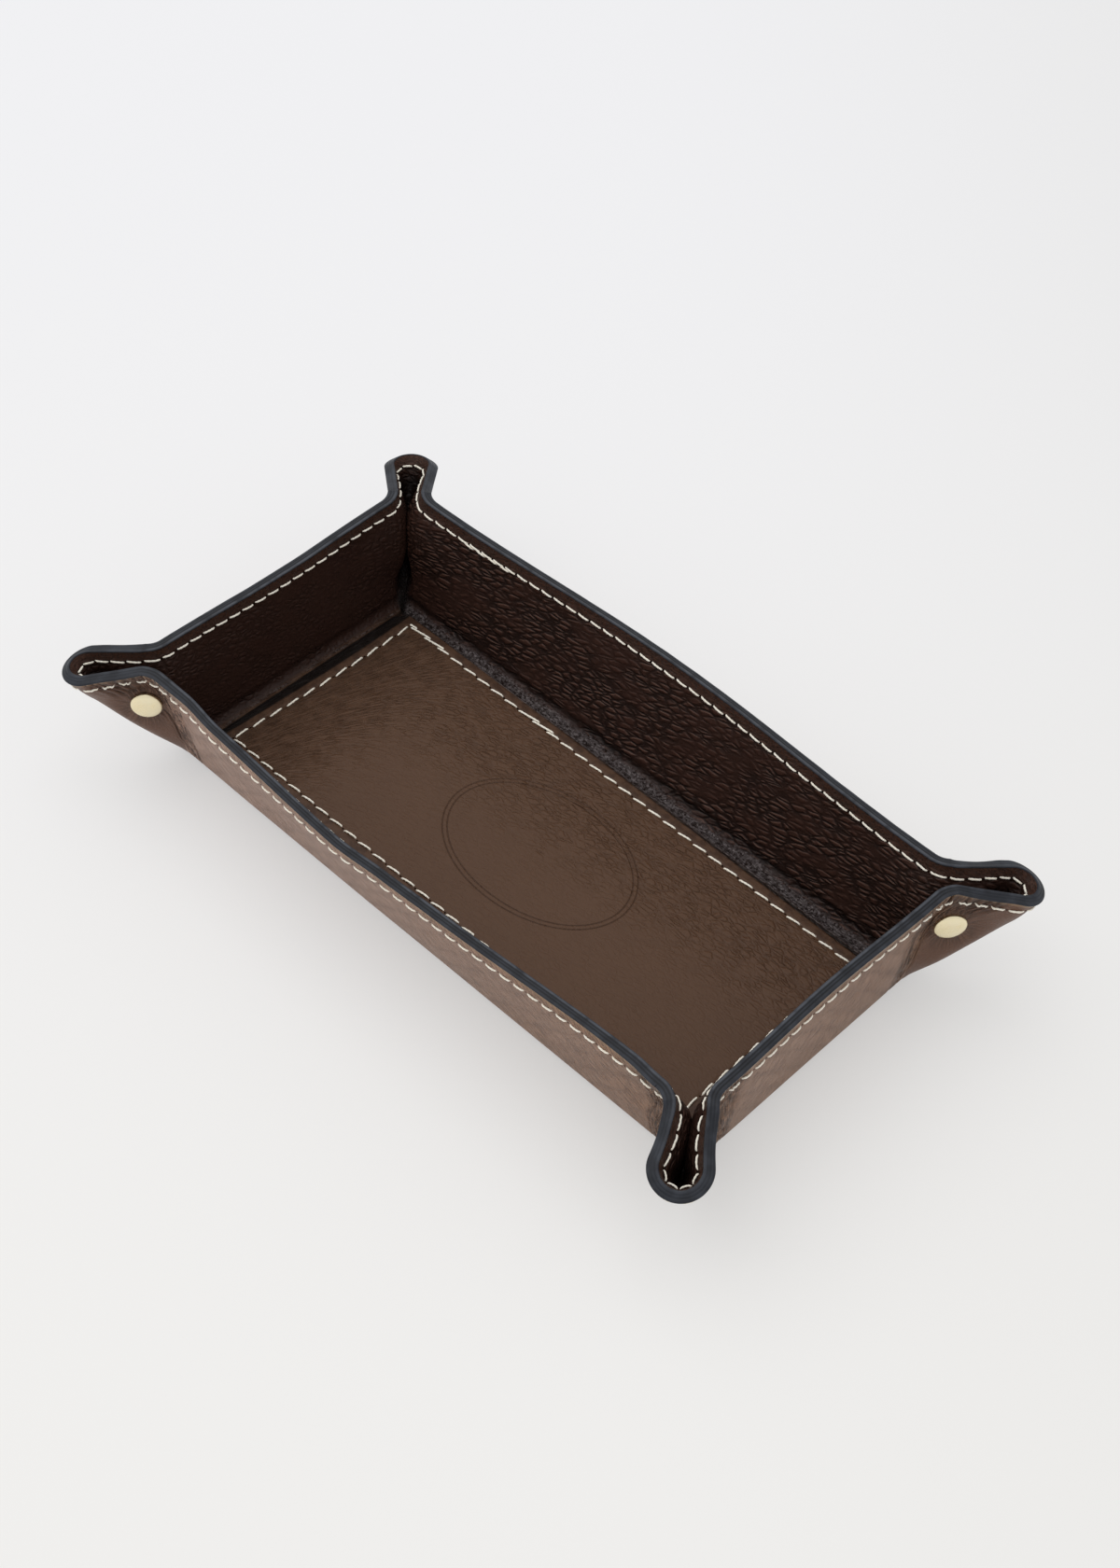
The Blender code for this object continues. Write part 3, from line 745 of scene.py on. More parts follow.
def fans():
    """Creases that fan up from the foot of the walls to the throats: how deep, 0 to 1."""
    sheet = np.stack([FAN_ANGLE * FAN_SHEET_RADIUS, CLIMB * 0.30, 0.1 * spread(ALONG)], axis=-1)
    phase = 2 * math.pi * (FAN_ANGLE / FAN_PITCH + 0.42 * waves(sheet, FAN_WAVES[0]))
    strength = np.clip(0.85 + 0.50 * waves(sheet, FAN_WAVES[1]), 0.10, 1.0)
    strength *= 0.60 + 0.40 * smooth_share(CLIMB_SHARE, 0.50, 0.62)
    spread_out = fan_weight(rivet_distance(OUTER)) * (1 - folds(phase, 1.6)) * strength
    return np.maximum(spread_out, crush_marks())


FANS = fans()


def edge_tuck():
    """How far each station's outer edge is pressed in at the rim."""
    on_wall = (RIM[:, 1] < 0) & (PLACES < 1)
    return FRONT_EDGE_TUCK * on_wall * smooth_share(PLACES, 1.0, 0.72)


def wandering(length):
    """A slow wander of the walls' faces, fading out at the foot and at the rim."""
    fade = smooth_share(CLIMB_SHARE, 0.1, 0.4) * (1 - smooth_share(CLIMB_SHARE, 0.85, 1.0))
    return waves(FACE, length) * WALL_WANDER * fade


def outer_relief():
    """How far the outer leather's face stands out from its plain form."""
    lip = hill(rivet_distance(OUTER) - RIVET_CAP_RADIUS * 1.12, CAP_LIP_HALF_WIDTH)
    tuck = edge_tuck()[:, None] * smooth_share(BELOW_RIM, FRONT_EDGE_TUCK_DROP, 0.0)
    return lip * CAP_LIP_HEIGHT - FANS * FAN_DEPTH - tuck + wandering(OUTER_WANDER_LENGTH)


def fold_line(climb, half_width):
    """A line along the foot of the walls, wandering a little up and down."""
    wander = sum(waves(RIM[:, :2], length) * reach for length, reach in ROLL_WANDERS)
    return hill(CLIMB - climb - wander[:, None], half_width)


def fold_rolls():
    """The worn roll at the walls' foot, the groove above it, and a fainter roll."""
    come_and_go = 0.65 + 0.35 * waves(RIM[:, :2], ROLL_CHANGE_LENGTH)
    worn = fold_line(ROLL_CLIMB, ROLL_HALF_WIDTH)
    groove = fold_line(GROOVE_CLIMB, ROLL_HALF_WIDTH * 0.8)
    second = fold_line(SECOND_ROLL_CLIMB, ROLL_HALF_WIDTH * 0.6)
    second *= np.clip(0.5 + 0.9 * waves(RIM[:, :2], SECOND_ROLL_CHANGE_LENGTH), 0, 1)[:, None]
    thin = fold_line(THIN_ROLL_CLIMB, THIN_ROLL_HALF_WIDTH) * THIN_ROLL_SHARE
    share = (0.45 + 0.55 * LONG_SHARE)[:, None]
    worn = worn * LONG_SHARE[:, None] + thin * (1 - LONG_SHARE)[:, None]
    corner = corner_share()[:, None] * smooth_share(CLIMB, *CORNER_WEAR_SPAN)
    sheet = np.stack([spread(ALONG), CLIMB * 0.15], axis=-1)
    streaks = np.clip(0.35 + 0.9 * waves(sheet, STREAK_LENGTH), 0, 1)
    worn = np.maximum(worn * come_and_go[:, None], corner * streaks * 0.7)
    return worn, groove * share, second * share


WORN_ROLL, FOLD_GROOVE, SECOND_ROLL = fold_rolls()


def inner_relief():
    """How far the lining's face stands in from its plain form, into the tray."""
    rivets = rivet_distance(FACE)
    wrinkles = 1 - np.abs(waves(np.stack([spread(ALONG) * 0.3, CLIMB], axis=-1), WRINKLE_LENGTH))
    relief = WORN_ROLL * (ROLL_HEIGHT + CREASE_DEPTH * wrinkles)
    relief += (SECOND_ROLL * 0.7 - FOLD_GROOVE * 0.6) * ROLL_HEIGHT - FANS * FAN_DEPTH * 0.2
    relief += wandering(INNER_WANDER_LENGTH)
    relief *= smooth_share(rivets, RIVET_CAP_RADIUS, RIVET_CAP_RADIUS * 2)
    return relief + SLIT_CLOSING * smooth_share(rivets, RIVET_CAP_RADIUS * 1.9, RIVET_CAP_RADIUS * 1.3)


LINING_FACE = FACE - inner_relief()[..., None] * OUTWARD
OUTER_FACE = OUTER + outer_relief()[..., None] * OUTWARD


def beyond(points, corners):
    """How far points lie outside a four-sided outline in plan, below 0 inside it."""
    farthest = np.full(points.shape[:-1], -BEYOND_TRAY)
    for start, end in zip(corners, np.roll(corners, -1, axis=0)):
        length = np.linalg.norm(end - start)
        run = (end - start) / length
        share = np.clip((points[..., :2] - start) @ run / length, 0.0, 1.0)
        bow = SEAM_BOW * (start[0] < 0 and end[0] < 0) * 4 * share * (1 - share)
        away = (points[..., :2] - start) @ np.array([run[1], -run[0]]) + bow
        farthest = np.maximum(farthest, away)
    return farthest


def board_ring(margin, height):
    """The board's outline in plan, let out by a margin, at one height."""
    sizes = (BOARD_HALF_LENGTH + margin, BOARD_HALF_WIDTH + margin,
             max(BOARD_CORNER_RADIUS + margin, SMALLEST_CORNER_RADIUS))

    def quadrant(ear):
        plan = [rounded_corner(*sizes, place)[0] for place in quadrant_rim(ear)[1]]
        return mirrored(np.array([np.append(point, height) for point in plan]), ear["side"])

    return around(quadrant)


def shown_ring(margin, height, shift_share=1.0):
    """A ring of the base as it lies, drawn out a little at the back corner."""
    ring = board_ring(margin, height)
    to_left = np.clip(0.5 - ring[:, 0] / BOARD_HALF_LENGTH / 2, 0, 1)
    to_back = np.clip(0.5 + ring[:, 1] / BOARD_HALF_WIDTH / 2, 0, 1)
    ring[:, 1] += EDGE_SHIFT_AT_BACK * to_left * to_back * shift_share
    return ring


def pressed_ring(points, power):
    """1 on the two pressed ovals, falling to 0 beside them."""
    offset = points[..., :2] - RING_CENTRE
    size = np.linalg.norm(offset / RING_HALF_AXES, axis=-1)
    outside = np.linalg.norm(offset, axis=-1) * (1 - 1 / np.maximum(size, 0.01))
    return sum(hill(np.abs(outside + inset), RING_LINE_HALF_WIDTH, power)
               for inset in (0.0, RING_GAP))


def ring_lines(edge):
    """Ovals from the middle of the base outwards, dense at the pressed lines."""
    offset = edge[:, :2] - RING_CENTRE
    on_oval = offset / np.linalg.norm(offset / RING_HALF_AXES, axis=1, keepdims=True)
    height = np.full(len(edge), PANEL_HEIGHT)
    return [np.column_stack([RING_CENTRE + on_oval * share, height])
            for share in (*RING_INNER_SHARES, *RING_DENSE_SHARES)]


def panel_rings():
    """The top of the base: ovals in the middle, rectangles along the seam."""
    inset = shown_ring(-SEAM_MARGIN, PANEL_HEIGHT)
    rings = ring_lines(inset)
    start = rings[-1]
    rings += [start + (inset - start) * k / SPREAD_RINGS for k in range(1, SPREAD_RINGS)]
    rings += [shown_ring(-SEAM_MARGIN * (1 - k / SEAM_RINGS), PANEL_HEIGHT)
              for k in range(SEAM_RINGS + 1)]
    return np.stack(rings, axis=1)


def shoulder_rings():
    """The lining's soft step down from the board's edge to the crease band."""
    reach = CREASE_BAND_WIDTH - FOLD_INSIDE_RADIUS
    rings = []
    for k in range(1, SHOULDER_RINGS + 1):
        share = k / (SHOULDER_RINGS + 1)
        drop = (PANEL_HEIGHT - LAMINATE) * float(smooth_share(share, 0.02, 0.80))
        rings.append(shown_ring(reach * share, PANEL_HEIGHT - drop, 1 - share))
    return np.stack(rings, axis=1)


def panel_relief(panel):
    """Pressed ring lines, the seam's groove, and a slight cockle of the panel."""
    outside = beyond(panel, SEAM_CORNERS)
    relief = waves(panel[..., :2], COCKLE_LENGTH) * COCKLE_HEIGHT
    relief -= pressed_ring(panel, 4) * RING_LINE_DEPTH
    relief -= hill(outside, SEAM_GROOVE_HALF_WIDTH) * SEAM_GROOVE_DEPTH
    return relief - smooth_share(outside, 0.0, STRIP_DROP_WIDTH) * STRIP_DROP


def mesh_object(name, points, faces, material):
    mesh = bpy.data.meshes.new(name)
    mesh.from_pydata([tuple(p) for p in points], [], faces)
    mesh.validate()
    mesh.shade_smooth()
    mesh.materials.append(material)
    obj = bpy.data.objects.new(name, mesh)
    bpy.context.scene.collection.objects.link(obj)
    return obj


def grid_faces(loops, sides, start=0, flip=False, closed=True, closed_sides=True):
    """Quads between loops of points that are stored one loop after another."""
    faces = []
    for k in range(loops if closed else loops - 1):
        a, b = start + k * sides, start + (k + 1) % loops * sides
        for j in range(sides if closed_sides else sides - 1):
            after = (j + 1) % sides
            faces.append((a + j, b + j, b + after, a + after) if flip
                         else (a + j, a + after, b + after, b + j))
    return faces


def tube_faces(loops, sides, start):
    """The sides of a tube and its two ends."""
    last = start + (loops - 1) * sides
    return grid_faces(loops, sides, start, closed=False) + [
        tuple(reversed(range(start, start + sides))), tuple(range(last, last + sides))]


def circle(count):
    """Angles evenly round a turn."""
    return [2 * math.pi * k / count for k in range(count)]


def sheet_object(name, shown, hidden, shown_is_top, material):
    """A closed leather sheet from its shown face and its plainer hidden face, both
    stored from the middle of the base outwards to the rim.
    """
    count, rows, hidden_rows = shown.shape[0], shown.shape[1], hidden.shape[1]
    start = count * rows
    top_middle = start + count * hidden_rows
    faces = grid_faces(count, rows, 0, not shown_is_top, closed_sides=False)
    faces += grid_faces(count, hidden_rows, start, shown_is_top, closed_sides=False)
    for k in range(count):
        after = (k + 1) % count
        a, b = k * rows + rows - 1, after * rows + rows - 1
        c = start + after * hidden_rows + hidden_rows - 1
        d = start + k * hidden_rows + hidden_rows - 1
        quads = [(a, d, c, b), (top_middle, k * rows, after * rows),
                 (top_middle + 1, start + after * hidden_rows, start + k * hidden_rows)]
        faces += quads if shown_is_top else [quad[::-1] for quad in quads]
    middles = [shown[:, 0].mean(axis=0), hidden[:, 0].mean(axis=0)]
    points = np.concatenate([shown.reshape(-1, 3), hidden.reshape(-1, 3), middles])
    return mesh_object(name, points, faces, material)


def set_mark(obj, name, values):
    """Numbers for the points, from the first one on, for the material to read."""
    every = np.zeros(len(obj.data.vertices), np.float32)
    every[:values.size] = values.ravel()
    obj.data.attributes.new(name, "FLOAT", "POINT").data.foreach_set("value", every)


def replace_node(obj, node):
    """Show a piece on the fixed body in place of a solid of the frame."""
    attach(obj, "root")
    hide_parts(node)


class Field:
    """A number, place or colour in a material's node tree, to reckon with."""

    def __init__(self, socket):
        self.socket, self.tree = socket, socket.id_data

    def __add__(self, other):
        return reckon("ADD", self, other)

    def __mul__(self, other):
        return reckon("MULTIPLY", self, other)

    def __sub__(self, other):
        return reckon("SUBTRACT", self, other)

    def __rsub__(self, other):
        return reckon("SUBTRACT", other, self)


def node_field(tree, kind, inputs, output=0, **settings):
    """A new node's output. Each input is linked to a field or set to a value."""
    node = tree.nodes.new(kind)
    for key, value in settings.items():
        setattr(node, key, value)
    for key, value in inputs.items():
        if isinstance(value, Field):
            tree.links.new(value.socket, node.inputs[key])
        else:
            node.inputs[key].default_value = value
    return Field(node.outputs[output])


def from_fields(kind, values, output=0, **settings):
    """A node's output from values in the order of its inputs, one or more of them fields."""
    tree = next(value.tree for value in values if isinstance(value, Field))
    return node_field(tree, kind, dict(enumerate(values)), output, **settings)


def reckon(operation, *values):
    return from_fields("ShaderNodeMath", values, operation=operation)


def larger(a, b):
    return reckon("MAXIMUM", a, b)


def vectors(operation, *values, output=0):
    return from_fields("ShaderNodeVectorMath", values, output, operation=operation)


def joined(x, y, z=0.0):
    return from_fields("ShaderNodeCombineXYZ", (x, y, z))


def part_of(where, axis):
    return node_field(where.tree, "ShaderNodeSeparateXYZ", {"Vector": where}, axis)


def blend(share, a, b):
    """One colour turning into another as a share rises."""
    return node_field(share.tree, "ShaderNodeMix", {0: share, 6: a, 7: b}, 2, data_type="RGBA")


def painted(colour, *layers):
    """A colour with others laid over it, each through its own mask."""
    for mask, tone in layers:
        colour = blend(mask, colour, tone)
    return colour


def remap(value, low, high, to_low=0.0, to_high=1.0):
    """A smooth change from one value to another as a field passes a span."""
    return from_fields("ShaderNodeMapRange", (value, low, high, to_low, to_high),
                       interpolation_type="SMOOTHSTEP")


def noise(where, scale, detail=2.0, roughness=0.5, output=0):
    return node_field(where.tree, "ShaderNodeTexNoise", {
        "Vector": where, "Scale": scale, "Detail": detail, "Roughness": roughness}, output)


class Look:
    """A procedural material in the making."""

    def __init__(self, name, colour, roughness, metallic=0.0, specular=0.5):
        self.material = bpy.data.materials.new(name)
        self.material.use_nodes = True
        self.tree = self.material.node_tree
        self.shader = self.tree.nodes["Principled BSDF"]
        for socket, value in (("Base Color", colour), ("Roughness", roughness),
                              ("Metallic", metallic), ("Specular IOR Level", specular)):
            self.shader.inputs[socket].default_value = value
        self.place = node_field(self.tree, "ShaderNodeTexCoord", {}, "Object")

    def mark(self, name):
        """A number that the mesh carries at each point."""
        return node_field(self.tree, "ShaderNodeAttribute", {}, "Fac", attribute_name=name)

    def soft(self, kind, detail=2.0, roughness=0.5):
        return noise(self.place, PATCHES[kind], detail, roughness)

    def link(self, socket, field):
        self.tree.links.new(field.socket, self.shader.inputs[socket])

    def bump(self, height, distance, strength=1.0):
        self.link("Normal", node_field(self.tree, "ShaderNodeBump", {
            "Strength": strength, "Distance": distance, "Height": height}))


def wall_place(look, lean_share=0.0, raised=0.0):
    """Place on the walls as if they were unrolled, with the rim's turn kept closed."""
    climb = look.mark("along") * lean_share + look.mark("climb") + raised
    return joined(look.mark("round_x"), look.mark("round_y"), climb)


def swept(where, ratio):
    """Coordinates in which the base's grain comes out long, and turns along the tray."""
    x = part_of(where, "X")
    slope = x * PANEL_GRAIN_SWEEP + PANEL_GRAIN_SLOPE
    at_left = larger(PANEL_TURN_START - x, 0.0) * (1 / PANEL_TURN_LENGTH)
    turned_up = reckon("POWER", at_left, 3.0) * PANEL_TURN_RISE
    return joined(x * (1 / ratio), part_of(where, "Y") - slope * x + turned_up)


def warped(where, size, amount_share):
    """Coordinates pushed about by soft noise, so that nothing on them runs straight."""
    push = size * amount_share
    centred = vectors("SUBTRACT", where, (push / 2,) * 3)
    return vectors("MULTIPLY_ADD", noise(where, 0.5 / size, output="Color"), (push,) * 3, centred)


def cell_depth(where, size):
    """Distance from the nearest border between cells of about one size."""
    return node_field(where.tree, "ShaderNodeTexVoronoi", {"Vector": where, "Scale": 1 / size},
                      "Distance", feature="DISTANCE_TO_EDGE")


def cell_creases(where, size, width_share):
    """1 in the creases between cells of about one size, 0 on the cells."""
    return remap(cell_depth(where, size), 0.0, width_share, 1.0, 0.0)


def thin_lines(soft, width_share):
    """1 where a soft noise passes its middle and 0 beside there: thin wavy lines."""
    return remap(reckon("ABSOLUTE", soft - 0.5), 0.0, width_share, 1.0, 0.0)


def fading(where, size, low, high, floor_share):
    """A soft mask that lets creases come and go."""
    return remap(noise(where, 1 / size), low, high, floor_share, 1.0)


def panel_grain(where):
    """Depth of the grain on the base, 0 to 1: long wavy creases that link loose cells."""
    drawn = warped(swept(where, PANEL_GRAIN_STRETCH), PANEL_GRAIN_SIZE, 0.9)
    longer = warped(swept(where, 1.7 * PANEL_GRAIN_STRETCH), PANEL_GRAIN_SIZE, 0.9)
    cells = cell_creases(drawn, PANEL_GRAIN_SIZE, 0.20)
    lines = thin_lines(noise(longer, 0.5 / PANEL_GRAIN_SIZE, 1.5), 0.040)
    return larger(cells * fading(where, PANEL_FADE_SIZES[0], 0.36, 0.60, 0.35) * 0.80,
                  lines * fading(where, PANEL_FADE_SIZES[1], 0.38, 0.56, 0.35) * 0.7)


def scale_height(where):
    """How high the rounded scales stand, 0 in the valleys and 1 on their middles."""
    drawn = warped(where, WALL_GRAIN_SIZE, 0.9)
    large = remap(cell_depth(drawn, WALL_GRAIN_SIZE), 0.0, PUFF_REACH)
    small = remap(cell_depth(drawn, WALL_GRAIN_SIZE * 0.5), 0.0, 0.25)
    return small * 0.10 + large * 0.90


def wall_grain(look):
    """The walls' scales: how high they stand, and where painted highlights lie on their upper edges
    and painted shade under their lower ones.
    """
    where = wall_place(look, WALL_GRAIN_LEAN)
    here = scale_height(where)
    above = scale_height(wall_place(look, WALL_GRAIN_LEAN, WALL_GRAIN_LIGHT_REACH))
    calm = 1.0 - look.mark("short") * SHORT_WALL_CALM_SHARE
    strength = fading(where, WALL_FADE_SIZE, 0.38, 0.60, 0.45) * calm
    return 1.0 - (1.0 - here) * strength, (here - above) * strength


def lining_colour(look, panel, scales, lit, wrinkles):
    """Espresso, with painted light: the walls darker than the base, shade between and under the
    scales, highlights on their upper edges, the fold grey with scuffing and painted sheen, and shade
    in the groove and the ears.
    """
    mark, ink = look.mark, LINING
    mottled = blend(remap(look.soft("mottle", 3.0), 0.38, 0.62, 0.0, 0.7), ink.pressed, ink.valley)
    # Walls: a darker tone than the base, painted shade; dark between the scales, under their lower
    # edges and on the short walls, painted shade; their upper edges lighter, a painted highlight.
    lit_and_shaded_wall = painted(blend(scales, ink.between, ink.scale),
                      (remap(lit, 0.05, 0.60, 0.0, 0.62), ink.lit),
                      (remap(lit, -0.05, -0.60, 0.0, 0.60), ink.between),
                      (mark("short") * 0.35, ink.between),
                      (mark("edge"), blend(wrinkles * 0.7, ink.edge, ink.between)))
    # The fold's grey flecks are scuffing with painted sheen; its wrinkles are painted dark as shade.
    flecks = remap(look.soft("fleck", 4.0, 0.70), 0.40, 0.60)
    worn = blend(larger(1.0 - flecks, wrinkles * 0.7), ink.worn, ink.between)
    # Painted shade: dark in the base's grain creases and pressed ring lines, in the fold's groove and
    # deep in the ears.
    return painted(blend(look.soft("tone", 3.0), ink.plain, ink.warm),
                   (mark("pressed"), mottled),
                   (larger(panel * 0.42, mark("ring") * 0.75), ink.valley),
                   (mark("wall"), lit_and_shaded_wall), (mark("worn"), worn),
                   (mark("groove"), ink.hollow), (mark("hollow"), ink.hollow))


def lining_material():
    """Pebbled leather, pressed flat outside the base seam, wrinkled at the walls' foot."""
    look = Look("brown_leather", LINING.plain, 0.5, specular=0.18)
    wall, edge = look.mark("wall"), look.mark("edge")
    quiet = 1.0 - larger(look.mark("pressed"), look.mark("calm")) * 0.9
    panel = panel_grain(look.place) * quiet * (1.0 - wall)
    scales, lit = wall_grain(look)
    wrinkles = thin_lines(noise(warped(wall_place(look), WRINKLE_WARP_SIZE, 1.6),
                                0.5 / WRINKLE_SIZE, 1.5), 0.10)
    look.link("Base Color", lining_colour(look, panel, scales, lit, wrinkles))
    look.link("Roughness", 0.52 - scales * 0.10)
    height = scales * wall * 1.35 * (1.0 - edge * 0.7) - panel
    height = height - wrinkles * larger(look.mark("worn"), edge * 0.5) * 0.6
    look.bump(height + look.soft("pore", 3.0, 0.6) * 0.12, BUMPS["lining"])
    return look.material


def comb(look):
    """Long thin creases on the outer leather that lean along the walls as they rise."""
    along, climb = look.mark("along"), look.mark("climb")
    drawn = joined((along - climb * COMBED_LEAN) * (1 / COMBED_PITCH),
                   (climb + along * COMBED_LEAN) * (1 / COMBED_LENGTH), look.mark("half"))
    return thin_lines(noise(drawn, 1.0, 2.5), 0.062)


def fan_creases(look):
    """Fine long creases between the folds that fan up from the foot of the walls."""
    drawn = joined(*(look.mark(name) * scale
                     for name, scale in zip(("fan_angle", "climb", "half"), FAN_LINES)))
    return thin_lines(noise(drawn, 1.0), 0.07) * look.mark("fan")


def cap_creases(look):
    """Fine creases that spread like rays from under the rivets' caps."""
    away = look.mark("ray_away")
    drawn = joined(look.mark("ray_x") * CAP_RAY_COUNT, look.mark("ray_y") * CAP_RAY_COUNT,
                   away * CAP_RAY_CHANGES)
    near = remap(away, RIVET_CAP_RADIUS, RIVET_CAP_RADIUS * 2.6, 1.0, 0.0)
    return thin_lines(noise(drawn, 1.0), 0.09) * near


def outer_material():
    """The same hide outside, drawn tight: finely creased, with a soft gloss. Its tone is lightened as
    painted sheen from the pale floor, and darkened in places as painted shade.
    """
    look = Look("taupe_leather", OUTSIDE.plain, 0.42, specular=0.36)
    ear = look.mark("ear")
    combed = comb(look) * (1.0 - ear * 0.75)
    # Painted shade: dark in the fan creases, the caps' ray creases and the pleats, which the same mask
    # deepens in the bump.
    deep = larger(larger(fan_creases(look) * 0.8, cap_creases(look) * 0.55), look.mark("pleat"))
    cells = cell_creases(warped(look.place, OUTER_CELL_SIZE, 1.4), OUTER_CELL_SIZE, 0.22)
    # Painted light: the light main tone stands for sheen from the pale floor; it darkens towards the
    # right end, on the ears' flanks and in the combed lines as painted shade.
    run = remap(part_of(look.place, "X"), -RIM_HALF_LENGTH, RIM_HALF_LENGTH, -0.15, 0.85)
    plain = blend(look.soft("outer", 3.0) * 0.3 + run, OUTSIDE.plain, OUTSIDE.far)
    look.link("Base Color", painted(plain, (combed * 0.70, OUTSIDE.valley),
                                    (ear * 0.85, OUTSIDE.ear), (deep * 0.92, OUTSIDE.deep),
                                    (look.mark("trim"), OUTSIDE.trim)))
    look.bump(combed * -0.58 - cells * 0.22 - deep, BUMPS["outer"])
    return look.material


def paint_material():
    """Dark grey-blue paint, satin, with the layers' lines showing through it."""
    look = Look("edge_paint", PAINT.plain, 0.40, specular=0.20)
    tone = look.soft("paint", 3.0)
    # The bead's inner shoulder is lightened: a painted highlight.
    look.link("Base Color", painted(blend(remap(tone, 0.35, 0.7), PAINT.plain, PAINT.light),
                                    (look.mark("shine") * remap(tone, 0.3, 0.6), PAINT.shine),
                                    (look.mark("line"), PAINT.line)))
    look.bump(look.soft("paint_grain", 3.0), BUMPS["paint"], 0.6)
    return look.material


def two_toned(look, tone, dark, light):
    """Mix a material's colour from two near tones."""
    look.link("Base Color", blend(tone, rgb(dark), rgb(light)))
    return look.material


def thread_material():
    """Waxed cream thread, a little uneven in tone."""
    look = Look("cream_thread", rgb("F4ECDA"), 0.60)
    look.bump(look.soft("thread_fibre"), BUMPS["thread"], 0.4)
    look.shader.inputs["Sheen Weight"].default_value = 0.2
    return two_toned(look, look.soft("thread"), "F3E8D0", "FFFDF6")


def hole_shade_material():
    """Painted shade: the dark inside a needle hole."""
    look = Look("needle_hole_shade", rgb("120B08"), 0.8, specular=0.05)
    return two_toned(look, look.soft("thread"), "0D0806", "20150F")


def brass_material():
    """Pale satin brass, faintly uneven where it was polished."""
    look = Look("pale_brass", rgb("FAEBC8"), 0.30, 1.0)
    tone = look.soft("brass", 3.0)
    look.link("Roughness", remap(tone, 0.3, 0.7, 0.24, 0.36))
    return two_toned(look, tone, "F3E2B4", "FDF4D8")


def fibre_material(name, dark, light):
    """Hidden sheets: matt fibre with short flecks."""
    look = Look(name, rgb(light), 0.9)
    return two_toned(look, look.soft("fibre", 4.0, 0.7), dark, light)


# The direction in which each wall section ends at the rim.
RIM_UP = unit(RIM - FACE[:, -2])


def with_lip(face, sign):
    """A leather face carried up past the rim, to be covered by the edge paint."""
    lips = [face[:, -1] + RIM_UP * height + OUTWARD[:, -1] * (sign * tuck)
            for height, tuck in zip(RIM_LIP_HEIGHTS, RIM_LIP_TUCKS)]
    return np.concatenate([face, np.stack(lips, axis=1)], axis=1)


def with_lip_marks(values):
    """Numbers for a wall's points, with the last row's repeated for the lip."""
    return np.concatenate([values] + [values[:, -1:]] * len(RIM_LIP_HEIGHTS), axis=1)


def hidden_face(depth):
    """A plainer face at a depth below the lining's face, for what is glued over."""
    rows = sorted(set(range(0, ROWS, HIDDEN_ROW_STRIDE)) | {ROWS - 1})
    return (FACE + depth * OUTWARD)[:, rows]


def from_front_corner():
    """Each station's distance along the rim from the tray's front corner."""
    apart = np.abs(ALONG - FRONT_ALONG)
    return np.minimum(apart, PERIMETER - apart)


def unrolled():
    """The rim's run as places on a circle, drawn together where the grain is longer."""
    stretch = SHORT_WALL_STRETCH + (LONG_WALL_STRETCH - SHORT_WALL_STRETCH) * LONG_SHARE
    run = np.cumsum(RIM_STEP / stretch)
    radius, turn = run[-1] / (2 * math.pi), run / run[-1] * 2 * math.pi
    return np.cos(turn) * radius, np.sin(turn) * radius


def panel_marks(panel):
    """Where the base is pressed flat, calmer, marked by the pressed ring, or painted dark as the shade
    of the fold's groove beyond the strip.
    """
    calm = (smooth_share(panel[..., 1], *QUIET_FROM_BACK)
            * smooth_share(panel[..., 0], *QUIET_FROM_LEFT))
    dark = smooth_share(beyond(panel, STRIP_CORNERS), *STRIP_END)
    pressed = smooth_share(beyond(panel, SEAM_CORNERS), *STRIP_START) * (1 - dark)
    return {"pressed": pressed, "calm": QUIET_SHARE * calm, "ring": pressed_ring(panel, 2),
            "groove": 0.95 * dark}


def shoulder_marks(shoulder):
    """Where the step beside the board is pressed, grey with scuffing and painted sheen, or painted
    dark as shade.
    """
    marks = panel_marks(shoulder)
    dark, long_side = marks["groove"] / 0.95, LONG_SHARE[:, None]
    falling = smooth_share(np.linspace(0, 1, SHOULDER_RINGS)[None, :], 0.0, 0.5)
    return {"pressed": marks["pressed"], "worn": long_side * dark,
            "groove": (1 - long_side) * np.maximum(marks["groove"], 0.9 * falling)}


def wall_marks():
    """Where the walls' lining is scaled, grey with scuffing and painted sheen, wrinkled along the rim,
    or painted dark as the shade of the fold's groove and the ears' hollows.
    """
    round_x, round_y = unrolled()
    below_roll = smooth_share(CLIMB, ROLL_CLIMB + WORN_EDGE, ROLL_CLIMB - WORN_EDGE)
    worn = np.maximum(np.clip(WORN_ROLL * 1.3, 0, 1), below_roll * LONG_SHARE[:, None])
    return {"wall": smooth_share(CLIMB, *WALL_START), "worn": worn,
            "groove": np.clip(FOLD_GROOVE * 0.75, 0, 0.8),
            "edge": smooth_share(BELOW_RIM, RIM_SEAM_DROP * 1.05, RIM_SEAM_DROP * 0.4),
            "hollow": corner_share()[:, None] * HOLLOW_SHARE * smooth_share(BELOW_RIM, *HOLLOW_SPAN),
            "along": spread(from_front_corner()), "climb": CLIMB, "short": spread(1 - LONG_SHARE),
            "round_x": spread(round_x), "round_y": spread(round_y)}


